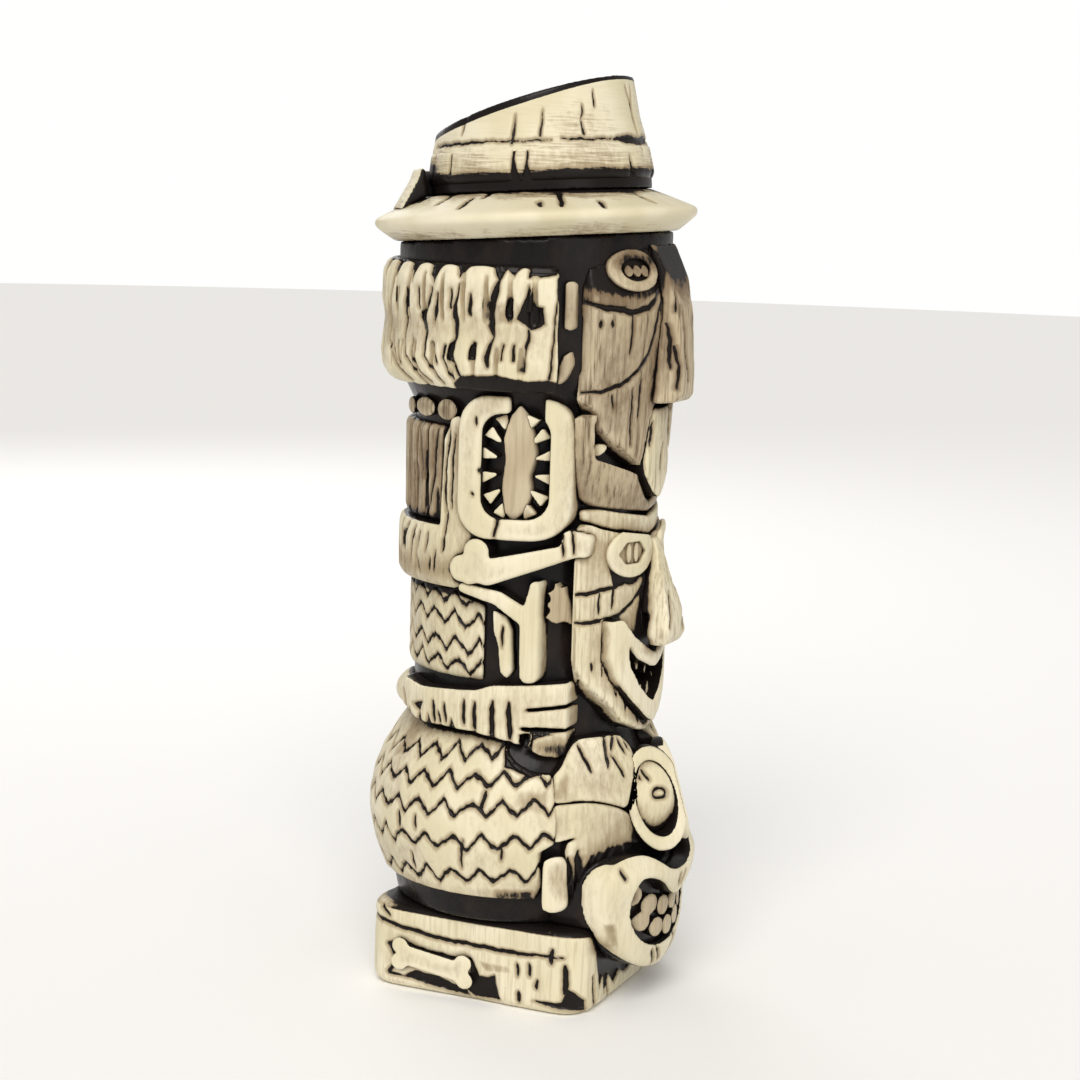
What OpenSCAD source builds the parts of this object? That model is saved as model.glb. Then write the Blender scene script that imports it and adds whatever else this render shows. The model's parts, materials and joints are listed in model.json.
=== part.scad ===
// Tiki mug: a hollow drinking vessel on a plinth, with three stacked masks in front,
// carved relief on both sides and a slanted hat whose crown is the drinking mouth.
// Millimetres, +Z up, standing on z = 0. The masks look toward -Y.

/* [Body] */
// Radius of the waist of the vessel, under the relief
waist_r = 28; // [26:0.5:31]
// Radius of the neck behind the top mask, under the relief
neck_r = 33.5; // [31:0.5:36]
// Radius of the belly behind the bottom mask, under the relief
belly_r = 35; // [33:0.5:37]
// Wall thickness
wall = 4; // [3:0.25:5]
// Height of the inside floor above the table
floor_z = 11; // [9:0.5:14]

/* [Plinth] */
// Size of the square plinth block, left to right
plinth_w = 58; // [54:1:66]
// Size of the square plinth block, front to back
plinth_d = 61; // [54:1:66]
// Height of the plinth
plinth_h = 22; // [18:1:26]
// Radius of its upright corners
plinth_corner = 8; // [4:1:14]

/* [Hat] */
// Height where the brim sits on the neck
hat_z = 190.5; // [186:0.5:196]
// Backward lean of the hat, degrees
hat_tilt = 4.3; // [0:0.1:8]
// Outer radius of the brim
brim_r = 40.3; // [37:0.1:44]
// Radius of the crown at the band
crown_r = 26.6; // [25:0.2:30]
// How far forward the crown stands on the brim
crown_shift = 1.8; // [0:0.2:3]
// Radius of the crown at its top
crown_top_r = 22.8; // [20:0.2:26]
// Height of the rim on the axis
rim_z = 222.4; // [216:0.2:228]
// Slant of the rim, degrees
rim_slant = 19.4; // [0:0.2:28]

/* [Masks] */
// Radius of the top mask's face
upper_r = 33.6; // [32:0.2:36]
// How far forward the top mask's centre stands
upper_shift = 4; // [2:0.5:6]
// Radius of the middle mask's face
middle_r = 29; // [28:0.5:32]
// How far forward the middle mask's centre stands
middle_shift = 5; // [2:0.5:6]
// Radius of the bottom mask's face
lower_r = 36.8; // [35:0.2:40]
// How far forward the bottom mask's centre stands
lower_shift = 1.5; // [0:0.5:4]
// Radius of the bottom mouth's lips
mouth_r = 40; // [37:0.5:42]
// How far forward the bottom mouth's centre stands
mouth_shift = 6; // [3:0.5:8]

/* [Side relief] */
// Outer radius of the hair block
hair_r = 38.3; // [36:0.1:40]
// Outer radius of the slats
slat_r = 31.2; // [30:0.1:33]
// Outer radius of the cuff band
cuff_r = 32.8; // [31:0.1:34]
// Outer radius of the toothed ring and the staff
ring_r = 33.8; // [32:0.1:36]
// Outer radius of the zigzag panel
panel_r = 29.4; // [29:0.1:32]
// Outer radius of the forearms
arm_r = 33.2; // [31:0.1:35]
// Outer radius of the zigzag drum
drum_r = 38.6; // [37:0.1:40]

/* [Hidden] */
reach = 70;
$fn = 96;

// How far the neck widens below the brim
neck_flare = 0.5;

// Outline of the vessel as [radius, height], from the plinth up to the hat
core = [
    [belly_r - 4, plinth_h], [belly_r - 3, 27], [belly_r - 1.2, 34], [belly_r, 44],
    [belly_r - 0.4, 54], [belly_r - 3.2, 62], [waist_r + 0.6, 68], [waist_r, 74],
    [waist_r, 112], [waist_r + 0.5, 122], [waist_r + 1, 148], [neck_r - 1.5, 154],
    [neck_r, 160], [neck_r, 178], [neck_r + neck_flare, 185], [neck_r + neck_flare, 196]
];
foot_r = 26;
foot_z = 5;
knob_r = 5.8;

// The masks stop at this distance in front of the axis, and the side relief a little behind it
seam = 22.6;

// The same outline moved inward by the wall, for the drinking well
well = [
    [0, floor_z], [20, floor_z], [22, floor_z + 2], [22, plinth_h], [27, 29],
    [belly_r - wall, 40], [belly_r - wall, 50], [belly_r - 3.2 - wall, 60],
    [waist_r - wall, 70], [waist_r - wall, 112], [waist_r + 0.6 - wall, 146],
    [neck_r - 1.5 - wall, 156], [neck_r - wall, 162], [neck_r - wall, 184],
    [neck_r - 8.5, 190], [neck_r - 8.5, 200]
];

// ---- outlines ----

// Both halves of an outline whose right half is given from top to bottom
function both(half) = concat(
    half,
    [for (i = [len(half) - 1:-1:0]) if (half[i][0] > 0) [-half[i][0], half[i][1]]]
);

// Rounds a closed outline by cutting its corners
function cut_corners(p) = [
    for (i = [0:len(p) - 1])
        for (f = [0.25, 0.75])
            p[i] * (1 - f) + p[(i + 1) % len(p)] * f
];

function soft(p) = cut_corners(cut_corners(p));

// Oval with its long axis leaning by tilt degrees
function oval(cx, cz, a, b, tilt = 0, n = 32) = [
    for (k = [0:n - 1])
        let (t = 360 * k / n, x = a * cos(t), z = b * sin(t))
        [cx + x * cos(tilt) - z * sin(tilt), cz + x * sin(tilt) + z * cos(tilt)]
];

// Rounded bar between two points, with its own radius at each end
function bar(p, q, rp, rq, n = 8) =
    let (a = atan2(q[1] - p[1], q[0] - p[0]))
    concat(
        [for (k = [0:n]) let (t = a + 90 + 180 * k / n) [p[0] + rp * cos(t), p[1] + rp * sin(t)]],
        [for (k = [0:n]) let (t = a - 90 + 180 * k / n) [q[0] + rq * cos(t), q[1] + rq * sin(t)]]
    );

// Rounded rectangle
function plate(x0, z0, x1, z1, r, n = 6) = [
    for (c = [[x1 - r, z1 - r, 0], [x0 + r, z1 - r, 90], [x0 + r, z0 + r, 180], [x1 - r, z0 + r, 270]])
        for (k = [0:n])
            let (t = c[2] + 90 * k / n)
            [c[0] + r * cos(t), c[1] + r * sin(t)]
];

// ---- helpers ----

// Carries an outline seen from the front straight through toward -Y
module from_front(points, turn = 0) {
    rotate([0, 0, -turn])
        rotate([90, 0, 0])
            linear_extrude(height = reach)
                polygon(points);
}

// Carries an outline seen from the side through toward -X; its x runs toward the masks
module from_side(points) {
    from_front(points, 90);
}

// Turned band over an arc; angles count from the front round to the -X side
module arc_band(profile, from, to) {
    rotate([0, 0, 270 - to])
        rotate_extrude(angle = to - from)
            polygon(profile);
}

module ring_of(r, z0, z1, shift = 0) {
    translate([0, -shift, z0])
        cylinder(r = r, h = z1 - z0);
}

// Everything inside the vessel's outer face
module core_solid() {
    rotate_extrude()
        polygon(concat([[0, plinth_h]], core, [[0, 196]]));
    translate([0, 0, foot_z])
        cylinder(r = foot_r, h = plinth_h - foot_z);
}

module left_copy() {
    mirror([1, 0, 0])
        children();
}

module both_sides() {
    children();
    left_copy() children();
}

// Everything behind the seam between the masks and the side relief
module behind_seam() {
    translate([-reach, -seam, 0])
        cube([2 * reach, reach + seam, 250]);
}

// ---- vessel and plinth ----

module vessel() {
    color([0.13, 0.12, 0.11])
        difference() {
            core_solid();
            rotate_extrude()
                polygon(concat(well, [[0, 200]]));
            hat_frame()
                translate([-50, -50, 0])
                    cube([100, 100, 30]);
        }
}

module plinth_block(inset, z0, z1) {
    w = plinth_w - 2 * inset;
    d = plinth_d - 2 * inset;
    r = plinth_corner - inset;
    translate([-w / 2, -d / 2 - 1, z0])
        linear_extrude(height = z1 - z0)
            union() {
                translate([r, 0]) square([w - 2 * r, d]);
                translate([0, r]) square([w, d - 2 * r]);
                for (x = [r, w - r], y = [r, d - r])
                    translate([x, y]) circle(r = r);
            }
}

module plinth() {
    color([0.86, 0.82, 0.68])
        difference() {
            union() {
                plinth_block(1.2, 0, 1.2);
                plinth_block(0, 1.2, 15.2);
                plinth_block(0.8, 15.2, 16);
                plinth_block(0, 16, plinth_h - 1);
                plinth_block(1.2, plinth_h - 1, plinth_h);
                both_sides()
                    translate([-14, plinth_d / 2 - 1, 16])
                        sphere(r = knob_r, $fn = 48);
            }
            translate([0, 0, foot_z])
                cylinder(r = foot_r, h = plinth_h);
        }
}

// ---- hat ----

module hat_frame() {
    translate([0, 0, hat_z])
        rotate([-hat_tilt, 0, 0])
            children();
}

module rim_cut() {
    translate([0, 0, rim_z])
        rotate([-rim_slant, 0, 0])
            translate([-50, -50, 0])
                cube([100, 100, 60]);
}

brim_top = 10.6;
band_top = 21;
hole_r = 22.5;

module hat_brim() {
    color([0.88, 0.84, 0.70])
        hat_frame()
            rotate_extrude()
                polygon([
                    [hole_r, 0], [neck_r + 1.7, 0], [brim_r - 1.6, 2.6], [brim_r - 0.3, 3.7],
                    [brim_r, 4.7], [brim_r - 0.4, 5.7], [brim_r - 1.8, 6.4], [33, 8.8],
                    [crown_r + 2, brim_top], [hole_r, brim_top]
                ]);
}

module brim_flap() {
    color([0.85, 0.80, 0.66])
        hat_frame()
            arc_band([
                [crown_r + 2, brim_top], [33, 8.8], [35.8, 7.6], [33.6, 11], [31, 15],
                [30, 17.6], [28.9, 17.2]
            ], 132, 228);
}

module hat_band() {
    color([0.88, 0.84, 0.70])
        hat_frame()
            translate([0, -crown_shift, 0])
                rotate_extrude()
                    polygon([
                        [crown_r, brim_top + 2], [crown_r + 1.2, brim_top + 2.4],
                        [crown_r + 1.8, brim_top + 4], [crown_r + 0.7, band_top], [crown_r - 0.6, band_top]
                    ]);
}

module hat_crown() {
    top = 44;
    color([0.90, 0.86, 0.72])
        difference() {
            hat_frame()
                translate([0, -crown_shift, 0])
                    rotate_extrude()
                        polygon([
                            [hole_r + 1, brim_top], [crown_r, brim_top], [crown_r, brim_top + 2],
                            [crown_r - 0.6, band_top], [crown_top_r, top], [crown_top_r - wall, top]
                        ]);
            rim_cut();
        }
}

// ---- top mask ----

hair_lo = 154.5;
hair_hi = 184.5;
hair_waist = 169.5;

module hair_block() {
    color([0.84, 0.80, 0.66])
        difference() {
            arc_band([
                [neck_r - 1.4, hair_lo], [hair_r - 2.6, hair_lo + 0.2], [hair_r - 0.6, hair_lo + 3],
                [hair_r, hair_lo + 7], [hair_r - 0.9, hair_waist], [hair_r, hair_waist + 5],
                [hair_r - 0.3, hair_hi - 3], [hair_r - 1.6, hair_hi - 0.4], [neck_r, hair_hi]
            ], 57, 303);
            core_solid();
            for (t = [66:9:294]) {
                rotate([0, 0, 270 - t])
                    translate([hair_r - 1.5, -0.5, hair_waist + 1])
                        cube([6, 1, 12]);
                rotate([0, 0, 270 - t - 4.5])
                    translate([hair_r - 1.4, -0.5, hair_lo + 1])
                        cube([6, 1, 10]);
            }
        }
}

module sideburn_right() {
    color([0.83, 0.78, 0.64])
        difference() {
            intersection() {
                union() {
                    from_side(plate(20.4, 169.6, seam - 0.1, 181.2, 1));
                    from_side([
                        [21.9, 164.6], [20.4, 163.4], [19.6, 160.6], [19.4, 156.6], [20.6, 157.6],
                        [21.6, 159.4], [22.3, 161.6]
                    ]);
                }
                ring_of(neck_r + 1.8, 150, 186);
            }
            core_solid();
        }
}

module sideburn_left() {
    left_copy() sideburn_right();
}

module upper_skin() {
    translate([0, -upper_shift, 0])
        rotate_extrude()
            polygon([
                [0, 123], [upper_r - 5.4, 123], [upper_r - 4.2, 130], [upper_r - 2.4, 140],
                [upper_r - 1.6, 152], [upper_r, 172], [upper_r, 177], [upper_r - 1.6, 182.5],
                [upper_r - 2.8, 186.5], [upper_r - 3.6, 191], [0, 191]
            ]);
}

module upper_face() {
    half = [
        [0, 190], [20, 190], [23.4, 187], [24.6, 180], [24.2, 156], [25, 153], [21.6, 149.8],
        [20.5, 146], [17, 142], [13.2, 139.4], [8.3, 136.2], [7.8, 142.3], [7, 147.2], [5.5, 151.8],
        [0, 151.8]
    ];
    color([0.80, 0.75, 0.61])
        difference() {
            intersection() {
                from_front(both(half));
                upper_skin();
            }
            core_solid();
            behind_seam();
        }
}

module upper_nose() {
    color([0.82, 0.77, 0.62])
        difference() {
            intersection() {
                rotate([0, 0, -90])
                    rotate([90, 0, 0])
                        translate([0, 0, -20])
                            linear_extrude(height = 40)
                                polygon([
                                    [30, 190.5], [34.3, 190], [36.9, 184.6], [38.6, 181.8],
                                    [40.4, 175.6], [41.4, 168.6], [42, 158], [41.8, 153.4], [40.4, 151.8],
                                    [30, 151]
                                ]);
                translate([0, 0, 140])
                    linear_extrude(height = 60)
                        polygon([
                            [-8.2, -30], [-7.6, -36.6], [-4.4, -42.2], [4.4, -42.2], [7.6, -36.6],
                            [8.2, -30]
                        ]);
            }
            upper_skin();
        }
}

upper_eye = [0.2, 184];
upper_eye_turn = 25.5;

// Outer face of the top eyes, which leans back with the forehead
module upper_eye_dome() {
    translate([0, -upper_shift, 0])
        rotate_extrude()
            polygon([
                [0, 176], [upper_r + 1.6, 176], [upper_r + 1, 180], [upper_r - 0.4, 183.5],
                [upper_r - 1.8, 187], [upper_r - 2.8, 191], [0, 191]
            ]);
}

module upper_eye_ring_right() {
    color([0.78, 0.73, 0.60])
        difference() {
            intersection() {
                from_front(oval(upper_eye[0], upper_eye[1], 7.5, 4.9), upper_eye_turn);
                upper_eye_dome();
            }
            from_front(oval(upper_eye[0] + 0.6, upper_eye[1], 4.7, 2.7), upper_eye_turn);
            upper_skin();
            core_solid();
        }
}

module upper_eye_ring_left() {
    left_copy() upper_eye_ring_right();
}

// Three small beads in each eye opening
module upper_eye_beads() {
    color([0.6, 0.55, 0.45])
        for (side = [0, 1])
            mirror([side, 0, 0])
                difference() {
                    intersection() {
                        for (u = [-1.9, 0.7, 3.2]) {
                            bead = oval(u, upper_eye[1] - 0.2, 1.15, 1.4, 0, 16);
                            from_front(bead, upper_eye_turn);
                        }
                        upper_eye_dome();
                    }
                    upper_skin();
                }
}

lip_half = [[0, 150.2], [4.8, 150.2], [7.4, 137], [6.6, 133.4], [3, 129.4], [0, 127.6]];

module upper_lip() {
    color([0.83, 0.78, 0.64])
        difference() {
            intersection() {
                from_front(both(lip_half));
                ring_of(upper_r - 2.2, 120, 155, upper_shift);
            }
            core_solid();
        }
}

module upper_jaw() {
    half = [
        [0, 126.4], [3.2, 128], [7.4, 132.4], [8.4, 134], [15.8, 136.6], [20.6, 138.4], [21.3, 140],
        [21.9, 146.8], [21.4, 149.4], [25.6, 148.6], [24.9, 140.6], [23.4, 133], [21.7, 128.8],
        [18.8, 126.9], [14.6, 126], [7.1, 124.9], [0, 124]
    ];
    color([0.80, 0.74, 0.62])
        difference() {
            intersection() {
                from_front(both(half));
                upper_skin();
            }
            from_front(both(lip_half));
            core_solid();
            behind_seam();
        }
}

// The tooth in each corner of the top mouth
module upper_teeth() {
    color([0.90, 0.87, 0.74])
        difference() {
            intersection() {
                union() {
                    from_front(oval(18.9, 140.5, 2, 1.2, -38, 20));
                    from_front(oval(-18.9, 140.5, 2, 1.2, 38, 20));
                }
                ring_of(upper_r - 4, 130, 150, upper_shift);
            }
            core_solid();
        }
}

module headband() {
    half = [
        [0, 122.6], [11.8, 124.6], [17.2, 125.8], [20.4, 125.8], [21.2, 125.2], [20.8, 123.5],
        [17.1, 121.8], [12.9, 120.5], [0, 118.4]
    ];
    color([0.85, 0.80, 0.66])
        difference() {
            intersection() {
                from_front(both(half));
                ring_of(middle_r - 0.5, 110, 130, middle_shift - 0.5);
            }
            core_solid();
            behind_seam();
            both_sides() club_shape();
        }
}

// ---- side relief around the toothed ring ----

module slats() {
    color([0.78, 0.72, 0.58])
        difference() {
            union() {
                arc_band([
                    [waist_r - 1, 121.2], [slat_r - 0.6, 121.2], [slat_r, 122.5],
                    [slat_r + 0.2, 143.4], [slat_r - 0.6, 144.8], [waist_r - 1, 144.8]
                ], 109, 251);
                intersection() {
                    ring_of(slat_r + 0.6, 140, 152);
                    both_sides() {
                        from_side(oval(-16.5, 148.8, 3.6, 2.3, 0, 20));
                        from_side(oval(-9, 148.8, 3, 2.6, 0, 20));
                        from_side(oval(-22.6, 148.4, 1.9, 2, 0, 20));
                    }
                }
            }
            core_solid();
            for (t = [120:10:240])
                rotate([0, 0, 270 - t])
                    translate([slat_r - 1.2, -0.5, 120])
                        cube([6, 1, 25.6]);
        }
}

// The cuff with the smooth hood that rises from it beside the ring
module cuff_band() {
    color([0.86, 0.82, 0.68])
        difference() {
            union() {
                arc_band([
                    [waist_r - 1, 105.4], [cuff_r - 1.2, 105.4], [cuff_r - 0.2, 107], [cuff_r, 112],
                    [cuff_r, 118], [cuff_r - 0.6, 120.2], [waist_r - 1, 120.8]
                ], 99, 261);
                both_sides()
                    intersection() {
                        from_side([
                            [-10, 106], [3.4, 105.6], [3.4, 112], [1.4, 119.6], [-3.4, 124], [-3.6, 145.8],
                            [-5, 147.6], [-7.2, 147], [-9.2, 142], [-9.8, 133], [-10, 120]
                        ]);
                        ring_of(cuff_r - 0.5, 105.4, 148);
                    }
            }
            core_solid();
            both_sides() {
                slat_room();
                club_shape();
                ring_plate();
                staff_shape();
            }
            for (t = [125:11:235])
                rotate([0, 0, 270 - t])
                    translate([cuff_r - 0.9, -0.4, 104])
                        cube([6, 0.8, 13]);
        }
}

// Room for the boards beside the hood
module slat_room() {
    arc_band([[20, 121], [40, 121], [40, 145], [20, 145]], 108.8, 180);
}

ring_c = [9.1, 136];
ring_half_w = 13.3;
ring_half_h = 17.4;
ring_in_left = ring_c[0] - ring_half_w + 6;
ring_in_right = ring_c[0] + ring_half_w - 4.6;

// The open middle of the toothed ring
module ring_opening() {
    z0 = ring_c[1] - ring_half_h + 5;
    z1 = ring_c[1] + ring_half_h - 4.2;
    from_side(plate(ring_in_left, z0, ring_in_right, z1, 5));
}

module ring_plate() {
    intersection() {
        from_side(plate(
            ring_c[0] - ring_half_w, ring_c[1] - ring_half_h,
            ring_c[0] + ring_half_w, ring_c[1] + ring_half_h, 8
        ));
        ring_of(ring_r, 110, 160);
    }
}

module toothed_ring_right() {
    color([0.88, 0.84, 0.70])
        difference() {
            ring_plate();
            ring_opening();
            from_side([[8.6, 145], [8.6, 160], [16.4, 160], [16.4, 145]]);
            core_solid();
        }
}

module toothed_ring_left() {
    left_copy() toothed_ring_right();
}

// Teeth that point inward all round the ring, apart from its gap and its lowest point
module ring_teeth_right() {
    middle = [9.8, 136.4];
    color([0.88, 0.84, 0.72])
        difference() {
            intersection() {
                union()
                    for (a = [12.9:25.7:360])
                        if (abs(a - 90) > 20 && abs(a - 270) > 20)
                            ring_tooth(middle, [cos(a), sin(a)]);
                ring_opening();
                ring_of(ring_r - 1.4, 110, 160);
            }
            tongue_plate();
            core_solid();
        }
}

module ring_tooth(middle, way) {
    base = middle + [8.6 * way[0], 13.4 * way[1]];
    tip = middle + [4.5 * way[0], 9.2 * way[1]];
    span = (base - tip) / norm(base - tip);
    side = [-span[1], span[0]];
    from_side([base + 1.55 * side, tip + 0.3 * side, tip - 0.3 * side, base - 1.55 * side]);
}

module ring_teeth_left() {
    left_copy() ring_teeth_right();
}

module tongue_plate() {
    from_side([
        [7.4, 125], [9.4, 122.8], [11.8, 125.2], [13.4, 129.6], [12.8, 134], [14.2, 139],
        [13.6, 144], [12, 149], [10.4, 151.4], [8.2, 148.6], [6.6, 143], [7.2, 138], [6.4, 131]
    ]);
}

// The grained tongue in the middle of the ring
module ring_tongue_right() {
    color([0.80, 0.75, 0.61])
        difference() {
            intersection() {
                tongue_plate();
                ring_of(ring_r - 1.8, 110, 160);
            }
            core_solid();
        }
}

module ring_tongue_left() {
    left_copy() ring_tongue_right();
}

// ---- middle mask ----

mouth_out = [
    [0, 88.4], [4.5, 90.4], [10.1, 94], [13.8, 98.6], [16.5, 98.2], [16.6, 88.8], [14.6, 83.6],
    [9.2, 77.2], [3.4, 72.4], [0, 70.8]
];
mouth_in = [
    [0, 85], [2.3, 85.4], [8.2, 88], [11.9, 92.2], [11.4, 87], [7.8, 81.5], [3.6, 77.8], [0, 76]
];

module middle_skin() {
    ring_of(middle_r, 60, 124, middle_shift);
}

module middle_face() {
    half = [
        [0, 117.8], [13, 119.8], [17.4, 121], [20.4, 122.4], [22.6, 121.4], [23, 104], [23, 89], [20.8, 83.6],
        [17.4, 79.8], [13.6, 76], [10.4, 72], [3.4, 69], [0, 68.2]
    ];
    color([0.84, 0.79, 0.65])
        difference() {
            intersection() {
                from_front(both(half));
                middle_skin();
            }
            from_front(both([for (p = mouth_out) [p[0] == 0 ? 0 : p[0] + 0.4, p[1]]]));
            core_solid();
            lower_skin();
            behind_seam();
            both_sides() club_shape();
        }
}

module middle_nose() {
    color([0.86, 0.81, 0.67])
        difference() {
            intersection() {
                rotate([0, 0, -90])
                    rotate([90, 0, 0])
                        translate([0, 0, -20])
                            linear_extrude(height = 40)
                                polygon([
                                    [28, 118], [35.3, 117.6], [37.3, 111.4], [39.4, 105],
                                    [41.2, 98.6], [41.6, 93.6], [40.4, 91.2], [28, 90.4]
                                ]);
                from_front(both([[0, 118], [1.6, 118], [4.6, 104], [6.4, 94], [5, 91], [0, 90.4]]));
            }
            middle_skin();
            ring_of(middle_r + 2.2, 60, 99, middle_shift);
        }
}

middle_eye = [2.9, 114.8];
middle_eye_turn = 22;

module middle_eye_ring_right() {
    color([0.88, 0.84, 0.70])
        difference() {
            intersection() {
                from_front(oval(middle_eye[0], middle_eye[1], 8.2, 6, 0), middle_eye_turn);
                ring_of(middle_r + 1.2, 105, 123, middle_shift);
            }
            from_front(oval(middle_eye[0], middle_eye[1], 5, 3.2, 0, 6), middle_eye_turn);
            middle_skin();
            headband_room();
            middle_nose();
            core_solid();
        }
}

// The band above the eyes keeps its own room
module headband_room() {
    from_front(both([[0, 124], [22, 127], [24, 127], [21, 123.2], [17.2, 121.4], [13, 120.1], [0, 118]]));
}

module middle_eye_ring_left() {
    left_copy() middle_eye_ring_right();
}

// Two upright slivers in each eye opening
module middle_pupils() {
    color([0.86, 0.82, 0.68])
        for (side = [0, 1])
            mirror([side, 0, 0])
                difference() {
                    intersection() {
                        for (u = [-1.3, 1.3]) {
                            sliver = oval(middle_eye[0] + u, middle_eye[1], 0.8, 2.6, 0, 16);
                            from_front(sliver, middle_eye_turn);
                        }
                        ring_of(middle_r + 0.9, 105, 123, middle_shift);
                    }
                    middle_skin();
                }
}

module middle_lips() {
    color([0.88, 0.84, 0.70])
        difference() {
            intersection() {
                from_front(both(mouth_out));
                ring_of(middle_r + 2.2, 60, 99, middle_shift);
            }
            from_front(both(mouth_in));
            core_solid();
            lower_skin();
        }
}

module middle_teeth() {
    color([0.84, 0.80, 0.68])
        difference() {
            intersection() {
                union() {
                    for (x = [-9, -4.6, 0, 4.6, 9]) {
                        root = 90 - 0.1 * abs(x);
                        from_front([[x - 1.7, root], [x + 1.7, root], [x, 82.6 + 0.3 * abs(x)]]);
                    }
                    for (x = [-6.8, -2.3, 2.3, 6.8])
                        from_front([[x - 1.7, 75], [x + 1.7, 75], [x, 80 + 0.35 * abs(x)]]);
                }
                from_front(both(mouth_in));
                ring_of(middle_r - 0.5, 60, 99, middle_shift);
            }
            core_solid();
        }
}

module ear_tuft_right() {
    color([0.82, 0.77, 0.63])
        difference() {
            intersection() {
                from_side([
                    [16.7, 99.4], [17.8, 101.2], [16.9, 102.6], [17.9, 103.8], [17.1, 105.6], [18.2, 106.2],
                    [18.6, 108.2], [19.5, 106.6], [20.4, 107.2], [20.9, 105], [21.6, 103], [22.3, 97.2],
                    [20.6, 98.4], [18.8, 97.8]
                ]);
                ring_of(waist_r + 3, 90, 112);
            }
            core_solid();
        }
}

module ear_tuft_left() {
    left_copy() ear_tuft_right();
}

// ---- bone club, staff and drop ----

module club_shape() {
    intersection() {
        union() {
            from_side(bar([4, 110.4], [22, 116], 3.2, 1.8));
            from_side(oval(-2.6, 110.8, 3.3, 3.3, 0, 20));
            from_side(oval(1.2, 115.2, 3.3, 3.3, 0, 20));
            from_side(bar([-0.6, 109], [3, 111], 2, 3));
            for (k = [0:2])
                from_side(bar([21.6 + 1.7 * k, 115.6], [22 + 1.7 * k, 120.2 - 0.6 * k], 1.2, 1.2, 6));
        }
        ring_of(ring_r + 0.2, 100, 126);
    }
}

module bone_club_right() {
    color([0.89, 0.85, 0.71])
        difference() {
            club_shape();
            core_solid();
        }
}

module bone_club_left() {
    left_copy() bone_club_right();
}

module staff_shape() {
    intersection() {
        union() {
            from_side(bar([-2.4, 106], [6.6, 104.2], 1.2, 1.7));
            from_side(bar([6.6, 104.2], [13, 99.8], 1.7, 2));
            from_side(bar([14.2, 98.6], [14.4, 85.4], 2.2, 2.1));
            from_side(bar([14.2, 99.4], [15.2, 107.8], 1.9, 1));
        }
        ring_of(ring_r - 0.6, 80, 112);
    }
}

module staff_right() {
    color([0.88, 0.84, 0.70])
        difference() {
            staff_shape();
            core_solid();
            from_side(bar([4, 110.4], [22, 116], 3.5, 2.1));
            club_shape();
            from_side([[16.5, 96], [16.4, 101], [16.6, 105.4], [17, 109.6], [24, 110], [24, 94]]);
        }
}

module staff_left() {
    left_copy() staff_right();
}

module drop_right() {
    color([0.86, 0.82, 0.68])
        difference() {
            intersection() {
                from_side([
                    [5, 101], [8.4, 99.6], [9.6, 96], [9.9, 91], [10.2, 86], [8.8, 84], [7.2, 85.4],
                    [6.4, 92], [5.2, 96]
                ]);
                ring_of(waist_r + 3.6, 80, 112);
            }
            core_solid();
            staff_shape();
        }
}

module drop_left() {
    left_copy() drop_right();
}

module zigzag_panel() {
    color([0.85, 0.80, 0.66])
        difference() {
            arc_band([
                [waist_r - 1, 82.6], [panel_r - 0.5, 82.8], [panel_r, 84.4], [panel_r, 103.6],
                [panel_r - 0.5, 105], [waist_r - 1, 105]
            ], 86, 274);
            core_solid();
            cuff_band_shadow();
        }
}

// Room for the curved end of the cuff above the panel
module cuff_band_shadow() {
    both_sides()
        from_side([[-8, 110], [-5, 103.2], [0, 102.2], [2.5, 101.2], [10, 97], [10, 110]]);
}

module forearm_right() {
    color([0.87, 0.82, 0.68])
        difference() {
            arm_outline();
            core_solid();
            drum_envelope();
            from_side(bar([14, 76.7], [30, 78.4], 0.5, 0.5, 4));
            from_side(bar([13, 72], [30, 71.2], 0.5, 0.5, 4));
            from_side([[12.6, 68.6], [15.4, 71.6], [14.4, 67.4]]);
        }
}

module arm_outline() {
    intersection() {
        union() {
            from_side([
                [-23, 78.4], [-21, 80.4], [-14, 79.4], [-8, 80], [1.8, 80.8], [6, 82.4],
                [seam - 0.1, 83.3], [seam - 0.1, 65.6], [21, 64.8], [17.5, 65.4], [13.1, 68],
                [8.4, 69.2], [0.8, 70.6], [-8, 70.8], [-15, 70.4], [-22.6, 73.4]
            ]);
            intersection() {
                arc_band([
                    [20, 72.6], [31.4, 72.6], [32.8, 74], [32.6, 75.4], [31, 77.4], [29.4, 78.6], [20, 79]
                ], 128, 168);
                ring_of(arm_r - 0.8, 60, 90);
            }
        }
        ring_of(arm_r, 60, 83.4);
        translate([-reach, -reach, 60])
            cube([reach, 2 * reach, 30]);
    }
}

module forearm_left() {
    left_copy() forearm_right();
}

// ---- bottom mask and drum ----

drum_profile = [
    [drum_r - 4, 29.5], [drum_r - 1.6, 36], [drum_r, 43], [drum_r, 48], [drum_r - 1.1, 54],
    [drum_r - 3.2, 59.5], [drum_r - 6.2, 64.5], [drum_r - 9.6, 69.5]
];

module drum_envelope() {
    rotate_extrude()
        polygon(concat([[0, 29.5]], drum_profile, [[0, 69.5]]));
}

module zigzag_drum() {
    color([0.87, 0.83, 0.69])
        difference() {
            arc_band(concat([[20, 29.5]], drum_profile, [[20, 69.5]]), 52.5, 307.5);
            core_solid();
            both_sides() {
                from_side([
                    [9.4, 80], [9.4, 65.8], [11.6, 63.4], [16, 61.2], [23, 60.6], [40, 60.6], [40, 80]
                ]);
                from_side([[16.5, 20], [18.2, 30], [19.6, 33], [19.6, 42.4], [23, 44.6], [40, 45], [40, 20]]);
            }
        }
}

lower_profile = [
    [lower_r - 3.8, plinth_h + 0.5], [lower_r - 1.8, 27], [lower_r - 0.5, 34], [lower_r, 44],
    [lower_r - 0.3, 54], [lower_r - 2.2, 62], [lower_r - 5.4, 69]
];

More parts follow.
